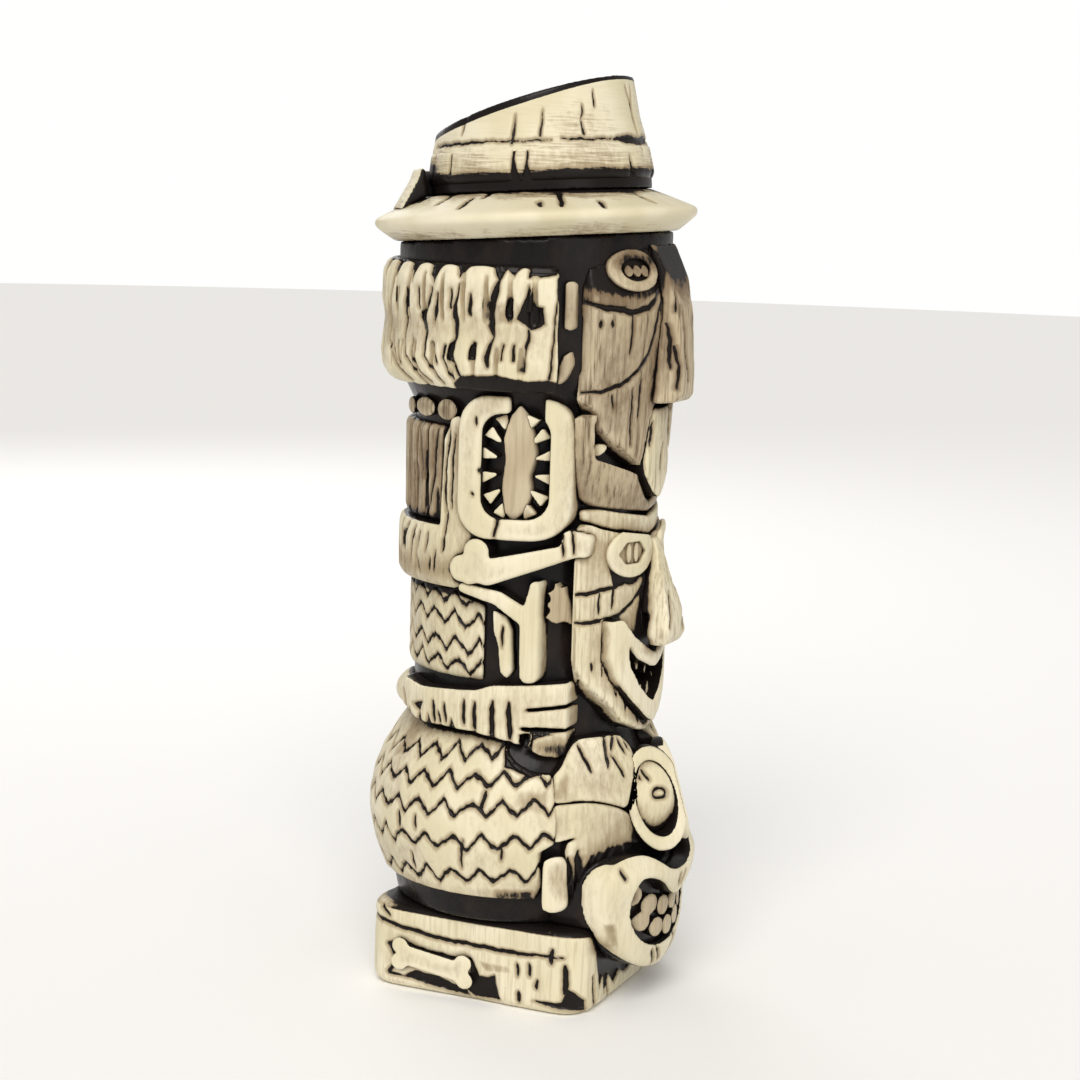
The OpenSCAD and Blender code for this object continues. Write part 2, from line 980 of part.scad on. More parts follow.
cheek_turn = 40;
cheek_band = soft([
    [-14, 53.6], [-8, 53.8], [-1.8, 54.2], [3.6, 53.6], [9.8, 51.6], [14, 48.8], [20, 41],
    [12.8, 41.9], [6.8, 44.7], [1, 46.3], [-3, 45.8], [-8, 44.6], [-14, 44.2]
]);
cheek_pad = soft([
    [-5.6, 43.6], [-3, 45.2], [1, 45.8], [6.8, 44.2], [13, 41.4], [9.4, 38], [6.8, 33.8], [5.8, 27],
    [4, 23.5], [0.6, 23.2], [-3.6, 27]
]);

module lower_skin() {
    translate([0, -lower_shift, 0])
        rotate_extrude()
            polygon(concat([[0, plinth_h + 0.5]], lower_profile, [[0, 69]]));
}

module lower_plate(points, turn) {
    difference() {
        intersection() {
            from_front(points, turn);
            lower_skin();
        }
        core_solid();
        arc_band([[20, 20], [60, 20], [60, 75], [20, 75]], 52.6, 307.4);
    }
}

module brow_right() {
    color([0.86, 0.82, 0.68])
        difference() {
            lower_plate(soft([
                [-14, 54], [-14, 60], [-8.6, 60.2], [-5.2, 63], [-3.2, 66.6], [0, 69.4], [8, 69.4],
                [13, 68.4], [15.8, 65], [15.6, 61.2], [13, 54], [12, 51.2], [9.8, 52.2], [3.6, 54.3],
                [-1.8, 54.9], [-8, 54.4]
            ]), cheek_turn);
            arm_outline();
        }
}

module brow_left() {
    left_copy() brow_right();
}

// The cheek with the long band above it
module cheek_right() {
    color([0.84, 0.79, 0.65])
        union() {
            lower_plate(cheek_band, cheek_turn);
            lower_plate(cheek_pad, cheek_turn);
        }
}

module cheek_left() {
    left_copy() cheek_right();
}

lower_eye = [18.5, 52.6];
lower_eye_turn = 36;
lower_eye_tilt = 12;
lower_eye_lean = 14;
lower_eye_w = 8.8;
lower_eye_h = 13;

module lower_eye_ring_right() {
    color([0.89, 0.85, 0.71])
        difference() {
            from_front(oval(
                lower_eye[0], lower_eye[1], lower_eye_w, lower_eye_h, lower_eye_tilt
            ), lower_eye_turn);
            from_front(oval(
                lower_eye[0], lower_eye[1], lower_eye_w - 2.9, lower_eye_h - 3.4, lower_eye_tilt
            ), lower_eye_turn);
            eye_front();
            eye_back();
        }
}

// Everything in front of the flat of the bottom eyes, which leans back
module eye_front() {
    rotate([0, 0, -lower_eye_turn])
        translate([0, -38.2, 45])
            rotate([-lower_eye_lean, 0, 0])
                translate([-60, -200, -60])
                    cube([120, 200, 120]);
}

// Everything inside the masks and the vessel, and past the middle plane
module eye_back() {
    lower_skin();
    core_solid();
    ring_of(middle_r + 2.6, 67, 99, middle_shift);
    lips_room();
    translate([-0.3, -reach, 0])
        cube([reach, 2 * reach, 120]);
}

module lower_eye_ring_left() {
    left_copy() lower_eye_ring_right();
}

module lower_eyeball_right() {
    color([0.90, 0.87, 0.74])
        difference() {
            intersection() {
                from_front(oval(
                    lower_eye[0], lower_eye[1], lower_eye_w - 3.1, lower_eye_h - 3.6, lower_eye_tilt
                ), lower_eye_turn);
                rotate([0, 0, -lower_eye_turn])
                    translate([lower_eye[0], -21.6, lower_eye[1] - 1])
                        sphere(r = 15.4, $fn = 64);
            }
            eye_back();
        }
}

module lower_eyeball_left() {
    left_copy() lower_eyeball_right();
}

// Half outlines of the bottom mouth, outside and inside of the lips
snout_out = [
    [0, 34], [6.6, 35], [11, 38.6], [15.6, 40.8], [21.8, 40], [25.6, 36.6], [26.4, 31], [25.2, 24],
    [22.2, 18.2], [17.3, 13.6], [9.9, 9.6], [0, 7.6]
];
snout_in = [
    [0, 27], [4, 28.4], [9, 32.6], [13.8, 34.8], [17.6, 35], [19.4, 32], [19, 27], [17.4, 22.4],
    [14, 18.2], [9.5, 15.6], [4.3, 14.4], [0, 14.2]
];

module muzzle_skin() {
    translate([0, -mouth_shift, 0])
        rotate_extrude()
            polygon([
                [0, 6], [mouth_r - 9, 6], [mouth_r - 6.4, 14], [mouth_r - 5.6, 24],
                [mouth_r - 5.6, 42], [0, 42]
            ]);
}

// The base behind the bottom mouth; it bridges the vessel and the plinth
module muzzle() {
    color([0.16, 0.14, 0.13])
        difference() {
            intersection() {
                lips_room();
                muzzle_skin();
            }
            core_solid();
            plinth_block(0, 0, plinth_h);
            cheek_cut();
        }
}

// Room for both cheeks
module cheek_cut() {
    both_sides() cheek_room();
}

module cheek_room() {
    intersection() {
        union() {
            from_front(cheek_band, cheek_turn);
            from_front(cheek_pad, cheek_turn);
        }
        lower_skin();
    }
}

module lips_room() {
    from_front(soft(both(snout_out)));
}

module lower_lips() {
    color([0.89, 0.85, 0.71])
        difference() {
            intersection() {
                lips_room();
                translate([0, -mouth_shift, 0])
                    rotate_extrude()
                        polygon([
                            [0, 7], [mouth_r - 6.6, 7], [mouth_r - 4.4, 11], [mouth_r - 2.8, 18],
                            [mouth_r - 1.8, 26], [mouth_r, 33], [mouth_r, 36], [mouth_r - 2, 40.6], [0, 40.6]
                        ]);
            }
            from_front(soft(both(snout_in)));
            muzzle_skin();
            lower_skin();
            core_solid();
            plinth_block(0, 0, plinth_h);
        }
}

// Two staggered rows of pebble teeth
module lower_teeth() {
    color([0.78, 0.74, 0.62])
        difference() {
            intersection() {
                union() {
                    for (k = [-2.5:2.5])
                        from_front(oval(6.2 * k, 24.4 + 0.85 * k * k, 2.75, 2.6, 0, 16));
                    for (k = [-2:2])
                        from_front(oval(6.1 * k, 18.6 + 0.95 * k * k, 2.7, 2.5, 0, 16));
                }
                ring_of(mouth_r - 3.6, 8, 41, mouth_shift);
            }
            muzzle_skin();
            lower_skin();
        }
}

module ear_tab_right() {
    color([0.88, 0.84, 0.70])
        difference() {
            intersection() {
                from_side(plate(20.4, 26.8, 25.8, 41, 2.4));
                ring_of(lower_r + 1, 20, 44);
            }
            core_solid();
            cheek_cut();
            lips_room();
        }
}

module ear_tab_left() {
    left_copy() ear_tab_right();
}

// ---- plinth relief ----

// Bone laid on each side face of the plinth
module plinth_bone_right() {
    color([0.90, 0.86, 0.73])
        difference() {
            intersection() {
                union() {
                    from_side(bar([-17, 9.4], [-2, 7.4], 2.6, 2.6));
                    for (p = [[-18.6, 11.6], [-18.8, 7.4], [-1, 9.8], [-0.6, 5.4]])
                        from_side(oval(p[0], p[1], 2.4, 2.2, 0, 16));
                }
                translate([-plinth_w / 2 - 1.2, -reach, 0])
                    cube([10, 2 * reach, plinth_h]);
            }
            plinth_block(0, -1, plinth_h + 1);
        }
}

module plinth_bone_left() {
    left_copy() plinth_bone_right();
}

vessel();
plinth();
hat_brim();
brim_flap();
hat_band();
hat_crown();
hair_block();
sideburn_right();
sideburn_left();
upper_face();
upper_nose();
upper_eye_ring_right();
upper_eye_ring_left();
upper_eye_beads();
upper_lip();
upper_jaw();
upper_teeth();
headband();
slats();
cuff_band();
toothed_ring_right();
toothed_ring_left();
ring_teeth_right();
ring_teeth_left();
ring_tongue_right();
ring_tongue_left();
middle_face();
middle_nose();
middle_eye_ring_right();
middle_eye_ring_left();
middle_pupils();
middle_lips();
middle_teeth();
ear_tuft_right();
ear_tuft_left();
bone_club_right();
bone_club_left();
staff_right();
staff_left();
drop_right();
drop_left();
zigzag_panel();
forearm_right();
forearm_left();
zigzag_drum();
brow_right();
brow_left();
cheek_right();
cheek_left();
lower_eye_ring_right();
lower_eye_ring_left();
lower_eyeball_right();
lower_eyeball_left();
muzzle();
lower_lips();
lower_teeth();
ear_tab_right();
ear_tab_left();
plinth_bone_right();
plinth_bone_left();
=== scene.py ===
"""Looks of the tiki mug: softened clay members with carved lines under a washed satin glaze."""
import json
import math

import bpy
import numpy as np
from mathutils import Matrix, Vector


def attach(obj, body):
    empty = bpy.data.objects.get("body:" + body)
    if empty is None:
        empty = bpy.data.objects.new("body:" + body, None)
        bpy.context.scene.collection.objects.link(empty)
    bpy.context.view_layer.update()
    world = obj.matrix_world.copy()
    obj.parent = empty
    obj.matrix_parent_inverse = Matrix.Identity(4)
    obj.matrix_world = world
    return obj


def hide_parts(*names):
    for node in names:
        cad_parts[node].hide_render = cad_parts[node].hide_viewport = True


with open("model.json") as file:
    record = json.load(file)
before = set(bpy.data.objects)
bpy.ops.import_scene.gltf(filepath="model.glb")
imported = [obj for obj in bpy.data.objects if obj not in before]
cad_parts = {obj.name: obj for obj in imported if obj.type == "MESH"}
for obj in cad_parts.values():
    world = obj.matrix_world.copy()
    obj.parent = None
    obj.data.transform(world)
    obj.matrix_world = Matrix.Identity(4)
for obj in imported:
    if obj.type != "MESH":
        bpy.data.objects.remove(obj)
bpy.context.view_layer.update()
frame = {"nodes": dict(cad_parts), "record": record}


MM = 0.001
COARSE = 1.0
# stands for "no line near here", in mm
FAR = 9.0

# ---- camera, floor and lights ----

# angles in degrees, lengths in metres, the lens in mm
CAMERA_TURN = 66.0
CAMERA_DISTANCE = 0.600
CAMERA_HEIGHT = 0.2108
CAMERA_YAW = 0.30
CAMERA_PITCH = 9.2
CAMERA_ROLL = 1.8
CAMERA_LENS = 79.5
SKY_TINT = (1.0, 0.985, 0.96, 1)
SKY_STRENGTH = 0.45
PAPER_TINT = (1.0, 1.0, 0.995, 1)
FLOOR_TINT = (0.95, 0.945, 0.935, 1)
FLOOR_RADIUS = 3.0
KEY_TURN = 72.0
KEY_HEIGHT = 42.0
KEY_SPREAD = 40.0
KEY_STRENGTH = 2.05
KEY_TINT = (1.0, 0.98, 0.945)
# name: (place, size, power, tint) of each soft square light
AREA_LIGHTS = {
    "front": ((-0.45, -0.80, 0.35), 0.5, 0.8, (1.0, 0.98, 0.95)),
    "back": ((0.6, 0.6, 0.6), 0.6, 2.0, (0.98, 0.985, 1.0)),
}
LIGHT_TARGET = (0, 0, 0.12)


def swung(a, b, angle):
    """Two directions at right angles, both turned so that the first moves toward the second."""
    return (
        a * math.cos(angle) + b * math.sin(angle),
        b * math.cos(angle) - a * math.sin(angle),
    )


def add_camera():
    """Camera on the photographed side, a little above the middle of the mug."""
    angles = (CAMERA_TURN, CAMERA_YAW, CAMERA_PITCH, CAMERA_ROLL)
    turn, yaw, pitch, roll = (math.radians(angle) for angle in angles)
    ahead = Vector((math.sin(turn), math.cos(turn), 0))
    right = Vector((math.cos(turn), -math.sin(turn), 0))
    up = Vector((0, 0, 1))
    place = -CAMERA_DISTANCE * ahead + CAMERA_HEIGHT * up
    ahead, right = swung(ahead, right, yaw)
    ahead, up = swung(ahead, up, -pitch)
    right, up = swung(right, up, roll)
    camera = bpy.data.objects.new("camera", bpy.data.cameras.new("camera"))
    camera.data.lens = CAMERA_LENS
    camera.data.clip_start = 0.01
    facing = Matrix((right, up, -ahead)).transposed().to_4x4()
    camera.matrix_world = Matrix.Translation(place) @ facing
    bpy.context.scene.collection.objects.link(camera)
    bpy.context.scene.camera = camera


def add_area(name, place, size, power, tint):
    """Soft square light aimed at the middle of the mug."""
    light = bpy.data.lights.new(name, "AREA")
    light.size = size
    light.energy = power
    light.color = tint
    lamp = bpy.data.objects.new(name, light)
    lamp.location = place
    aim = Vector(LIGHT_TARGET) - Vector(place)
    lamp.rotation_euler = aim.to_track_quat("-Z", "Y").to_euler()
    bpy.context.scene.collection.objects.link(lamp)


def add_sun(name, turn, height, strength, tint):
    """Broad soft light from far away: its turn from the front round to -X, and its height."""
    light = bpy.data.lights.new(name, "SUN")
    light.angle = math.radians(KEY_SPREAD)
    light.energy = strength
    light.color = tint
    lamp = bpy.data.objects.new(name, light)
    across, up = math.radians(turn), math.radians(height)
    source = Vector((
        -math.sin(across) * math.cos(up), -math.cos(across) * math.cos(up), math.sin(up),
    ))
    lamp.rotation_euler = source.to_track_quat("Z", "Y").to_euler()
    bpy.context.scene.collection.objects.link(lamp)


def add_stage():
    """Plain pale floor, a white backdrop that only the camera sees, and three soft lights."""
    world = bpy.data.worlds.new("studio")
    world.use_nodes = True
    tree = world.node_tree
    sky = tree.nodes["Background"]
    sky.inputs["Color"].default_value = SKY_TINT
    sky.inputs["Strength"].default_value = SKY_STRENGTH
    paper = tree.nodes.new("ShaderNodeBackground")
    paper.inputs["Color"].default_value = PAPER_TINT
    rays = tree.nodes.new("ShaderNodeLightPath")
    either = tree.nodes.new("ShaderNodeMixShader")
    tree.links.new(rays.outputs["Is Camera Ray"], either.inputs["Fac"])
    tree.links.new(sky.outputs["Background"], either.inputs[1])
    tree.links.new(paper.outputs["Background"], either.inputs[2])
    tree.links.new(either.outputs["Shader"], tree.nodes["World Output"].inputs["Surface"])
    bpy.context.scene.world = world
    bpy.ops.mesh.primitive_circle_add(vertices=96, radius=FLOOR_RADIUS, fill_type="NGON")
    floor = bpy.context.object
    floor.name = "floor"
    paint = bpy.data.materials.new("floor_paper")
    paint.use_nodes = True
    shader = paint.node_tree.nodes["Principled BSDF"]
    shader.inputs["Base Color"].default_value = FLOOR_TINT
    shader.inputs["Roughness"].default_value = 0.9
    floor.data.materials.append(paint)
    add_sun("key", KEY_TURN, KEY_HEIGHT, KEY_STRENGTH, KEY_TINT)
    for name, settings in AREA_LIGHTS.items():
        add_area(name, *settings)
    bpy.context.scene.view_settings.view_transform = "Standard"


# ---- mesh work, in millimetres ----


def remeshed(node, voxel):
    """An even mesh of a CAD node's shape, in millimetres."""
    mesh = frame["nodes"][node].data.copy()
    mesh.transform(Matrix.Scale(1 / MM, 4))
    work = bpy.data.objects.new("work", mesh)
    bpy.context.scene.collection.objects.link(work)
    grid = work.modifiers.new("grid", "REMESH")
    grid.mode = "VOXEL"
    grid.voxel_size = voxel * COARSE
    even = work.evaluated_get(bpy.context.evaluated_depsgraph_get())
    shape = bpy.data.meshes.new_from_object(even)
    bpy.data.objects.remove(work)
    bpy.data.meshes.remove(mesh)
    shape.materials.clear()
    return shape


def read(mesh, layer, name, width, kind=np.float32):
    out = np.zeros(len(layer) * width, kind)
    layer.foreach_get(name, out)
    return out.reshape(-1, width) if width > 1 else out


def points_of(mesh):
    return read(mesh, mesh.vertices, "co", 3).astype(float)


def put_points(mesh, points):
    mesh.vertices.foreach_set("co", points.astype(np.float32).ravel())
    mesh.update()


def normals_of(mesh):
    return read(mesh, mesh.vertex_normals, "vector", 3).astype(float)


def relaxed(points, edges, rounds):
    """Softens corners the way wet clay and glaze do."""
    count = len(points)
    a, b = edges[:, 0], edges[:, 1]
    degree = np.maximum(np.bincount(edges.ravel(), minlength=count), 1)
    for _ in range(rounds):
        pull = np.empty_like(points)
        for k in range(3):
            pull[:, k] = np.bincount(a, points[b, k], count)
            pull[:, k] += np.bincount(b, points[a, k], count)
        points = points + 0.5 * (pull / degree[:, None] - points)
    return points


# ---- the unrolled map: angle from the front against height ----

TURN_CELLS = 640
HEIGHT_CELL = 0.4
HEIGHT_LOW = -8.0
HEIGHT_CELLS = 620
# the radius at which angles are measured out in mm
MEAN_R = 36.0


def turn_of(points):
    """Angle in degrees from the front round to -X, from -180 to 180."""
    return np.degrees(np.arctan2(-points[:, 0], -points[:, 1]))


def cells_of(points):
    column = (turn_of(points) / 360 % 1) * TURN_CELLS
    row = np.clip((points[:, 2] - HEIGHT_LOW) / HEIGHT_CELL, 0, HEIGHT_CELLS - 1.01)
    return row, column


def splat(grid, points, values):
    row, column = cells_of(points)
    np.maximum.at(grid, (row.astype(int), column.astype(int) % TURN_CELLS), values)


def grown(grid, rounds):
    """Fills empty cells from their neighbours."""
    for _ in range(rounds):
        best = grid.copy()
        for axis in (0, 1):
            for step in (-1, 1):
                best = np.maximum(best, np.roll(grid, step, axis))
        grid = np.where(grid > 0, grid, best)
    return grid


def blurred(grid, spread):
    """Gaussian blur, with the spread in millimetres."""
    f0 = np.fft.fftfreq(HEIGHT_CELLS)[:, None] / HEIGHT_CELL
    f1 = np.fft.rfftfreq(TURN_CELLS)[None, :] / (2 * math.pi * MEAN_R / TURN_CELLS)
    weight = np.exp(-2 * (math.pi * spread) ** 2 * (f0 ** 2 + f1 ** 2))
    return np.fft.irfft2(np.fft.rfft2(grid) * weight, grid.shape)


def sampled(grid, points):
    row, column = cells_of(points)
    r0, c0 = np.floor(row).astype(int), np.floor(column).astype(int)
    fr, fc = row - r0, column - c0
    r1, c1 = np.minimum(r0 + 1, HEIGHT_CELLS - 1), (c0 + 1) % TURN_CELLS
    c0 = c0 % TURN_CELLS
    low = grid[r0, c0] * (1 - fc) + grid[r0, c1] * fc
    high = grid[r1, c0] * (1 - fc) + grid[r1, c1] * fc
    return low * (1 - fr) + high * fr


# ---- carved lines ----


def step(value, low, high):
    t = np.clip((value - low) / (high - low), 0, 1)
    return t * t * (3 - 2 * t)


LINE_WOBBLE = 0.12
ZIGZAG_WOBBLE = 0.3


def wobble(flat, amount):
    """Shifts flat points a little, so that carved lines look drawn by hand."""
    a, b = flat[:, 0], flat[:, 1]
    return flat + amount * np.stack([
        np.sin(0.71 * b + 1.3) + 0.5 * np.sin(1.9 * b + 0.8 * a),
        np.sin(0.83 * a + 0.4) + 0.5 * np.sin(2.1 * a - 0.6 * b),
    ], 1)


def to_line(flat, line, half):
    """Distance in mm to the edge of a drawn line, which thins toward its ends."""
    corners = np.array(line, float)
    lengths = np.hypot(*(corners[1:] - corners[:-1]).T)
    total = max(lengths.sum(), 1e-6)
    best = np.full(len(flat), FAR)
    done = 0.0
    for a, b, length in zip(corners[:-1], corners[1:], lengths):
        d = b - a
        w = np.clip((flat - a) @ d / max(d @ d, 1e-9), 0, 1)
        away = np.hypot(*(flat - a - w[:, None] * d).T)
        along = (done + w * length) / total
        width = half * (0.35 + 0.65 * np.minimum(1, 5 * np.minimum(along, 1 - along)))
        best = np.minimum(best, away - width)
        done += length
    return best


def to_slit(flat, line):
    """Distance in mm to the edge of a slit whose points also hold its half width."""
    best = np.full(len(flat), FAR)
    for (ta, za, wa), (tb, zb, wb) in zip(line[:-1], line[1:]):
        a = np.array((math.radians(ta) * MEAN_R, za))
        d = np.array((math.radians(tb) * MEAN_R, zb)) - a
        w = np.clip((flat - a) @ d / max(d @ d, 1e-9), 0, 1)
        best = np.minimum(best, np.hypot(*(flat - a - w[:, None] * d).T) - wa - w * (wb - wa))
    return best


def to_patch(flat, outline):
    """Distance in mm to the edge of a closed shape, below nought inside it."""
    corners = np.array(outline, float)
    best = np.full(len(flat), FAR)
    inside = np.zeros(len(flat), bool)
    for a, b in zip(corners, np.roll(corners, -1, 0)):
        d = b - a
        w = np.clip((flat - a) @ d / max(d @ d, 1e-9), 0, 1)
        best = np.minimum(best, np.hypot(*(flat - a - w[:, None] * d).T))
        crosses = (a[1] > flat[:, 1]) != (b[1] > flat[:, 1])
        inside ^= crosses & (flat[:, 0] < a[0] + (flat[:, 1] - a[1]) * d[0] / (d[1] or 1e-9))
    return np.where(inside, -best, best)


def flat_of(kind, points):
    """Unrolled points in mm: along the skin from the front, and height."""
    turn = turn_of(points)
    if kind not in UNEVEN:
        turn = np.abs(turn)
    return np.stack([np.radians(turn) * MEAN_R, points[:, 2]], 1)


def unrolled(line):
    return [(math.radians(t) * MEAN_R, z) for t, z in line]


def drawn(kind, points):
    """Smallest distance to any of a piece's own lines and dark shapes."""
    flat = wobble(flat_of(kind, points), LINE_WOBBLE)
    best = np.full(len(points), FAR)
    for half, line in STROKES.get(kind, []):
        best = np.minimum(best, to_line(flat, unrolled(line), LINE_SHARE * half))
    for line in SLITS.get(kind, []):
        best = np.minimum(best, to_slit(flat, line))
    for outline in PATCHES.get(kind, []):
        best = np.minimum(best, to_patch(flat, unrolled(outline)))
    if kind == "hat_brim":
        above = wobble(np.stack([np.abs(points[:, 0]), -points[:, 1]], 1), LINE_WOBBLE)
        for half, line in BRIM_DASHES:
            best = np.minimum(best, to_line(above, line, half))
    return best


SIDE_TURN = 90
BACK_TURN = 130


def zigzag(points, rows, wave, rise, half, fall):
    """Distance to rows of zigzag round the mug.

    A row is its height at the side and the turn of one of its peaks. A wave is in degrees, and
    the fall is in mm for each degree from the side to where the back begins.
    """
    turn = np.abs(turn_of(points))
    flat = wobble(np.stack([turn, points[:, 2]], 1), ZIGZAG_WOBBLE)
    best = np.full(len(points), FAR)
    for height, peak in rows:
        along = (flat[:, 0] - peak) / wave
        uneven = 1 + 0.15 * np.sin(1.7 * along + height)
        teeth = (np.abs((along % 1) * 2 - 1) - 0.5) * rise * uneven
        level = height - fall * (np.minimum(turn, BACK_TURN) - SIDE_TURN)
        steep = math.hypot(1, 2 * rise / (math.radians(wave) * MEAN_R))
        best = np.minimum(best, np.abs(flat[:, 1] - level - teeth) / steep - half)
    return best


# ---- the pieces ----

# how wide a line is cut, as a share of its half width in the tables
LINE_SHARE = 0.85
# pieces whose lines differ left from right; the rest are mirrored
UNEVEN = ("upper_nose", "middle_nose", "upper_lip")
BACK_HAIR = (150, 163, 176)
BACK_SLATS = (138, 150, 162, 174)
HAIR_NOTCHES = (
    (74, 183.2), (79, 181.5), (94, 182), (106, 180.5), (118, 180.5), (130, 181.5), (143, 181),
    (157, 181.5), (170, 181),
)

# a ring round the bottom eye's pupil, in the same units as the lines below
PUPIL = [
    (8.5 + 2.6 * math.cos(a * math.pi / 6), 54 + 1.3 * math.sin(a * math.pi / 6)) for a in range(13)
]

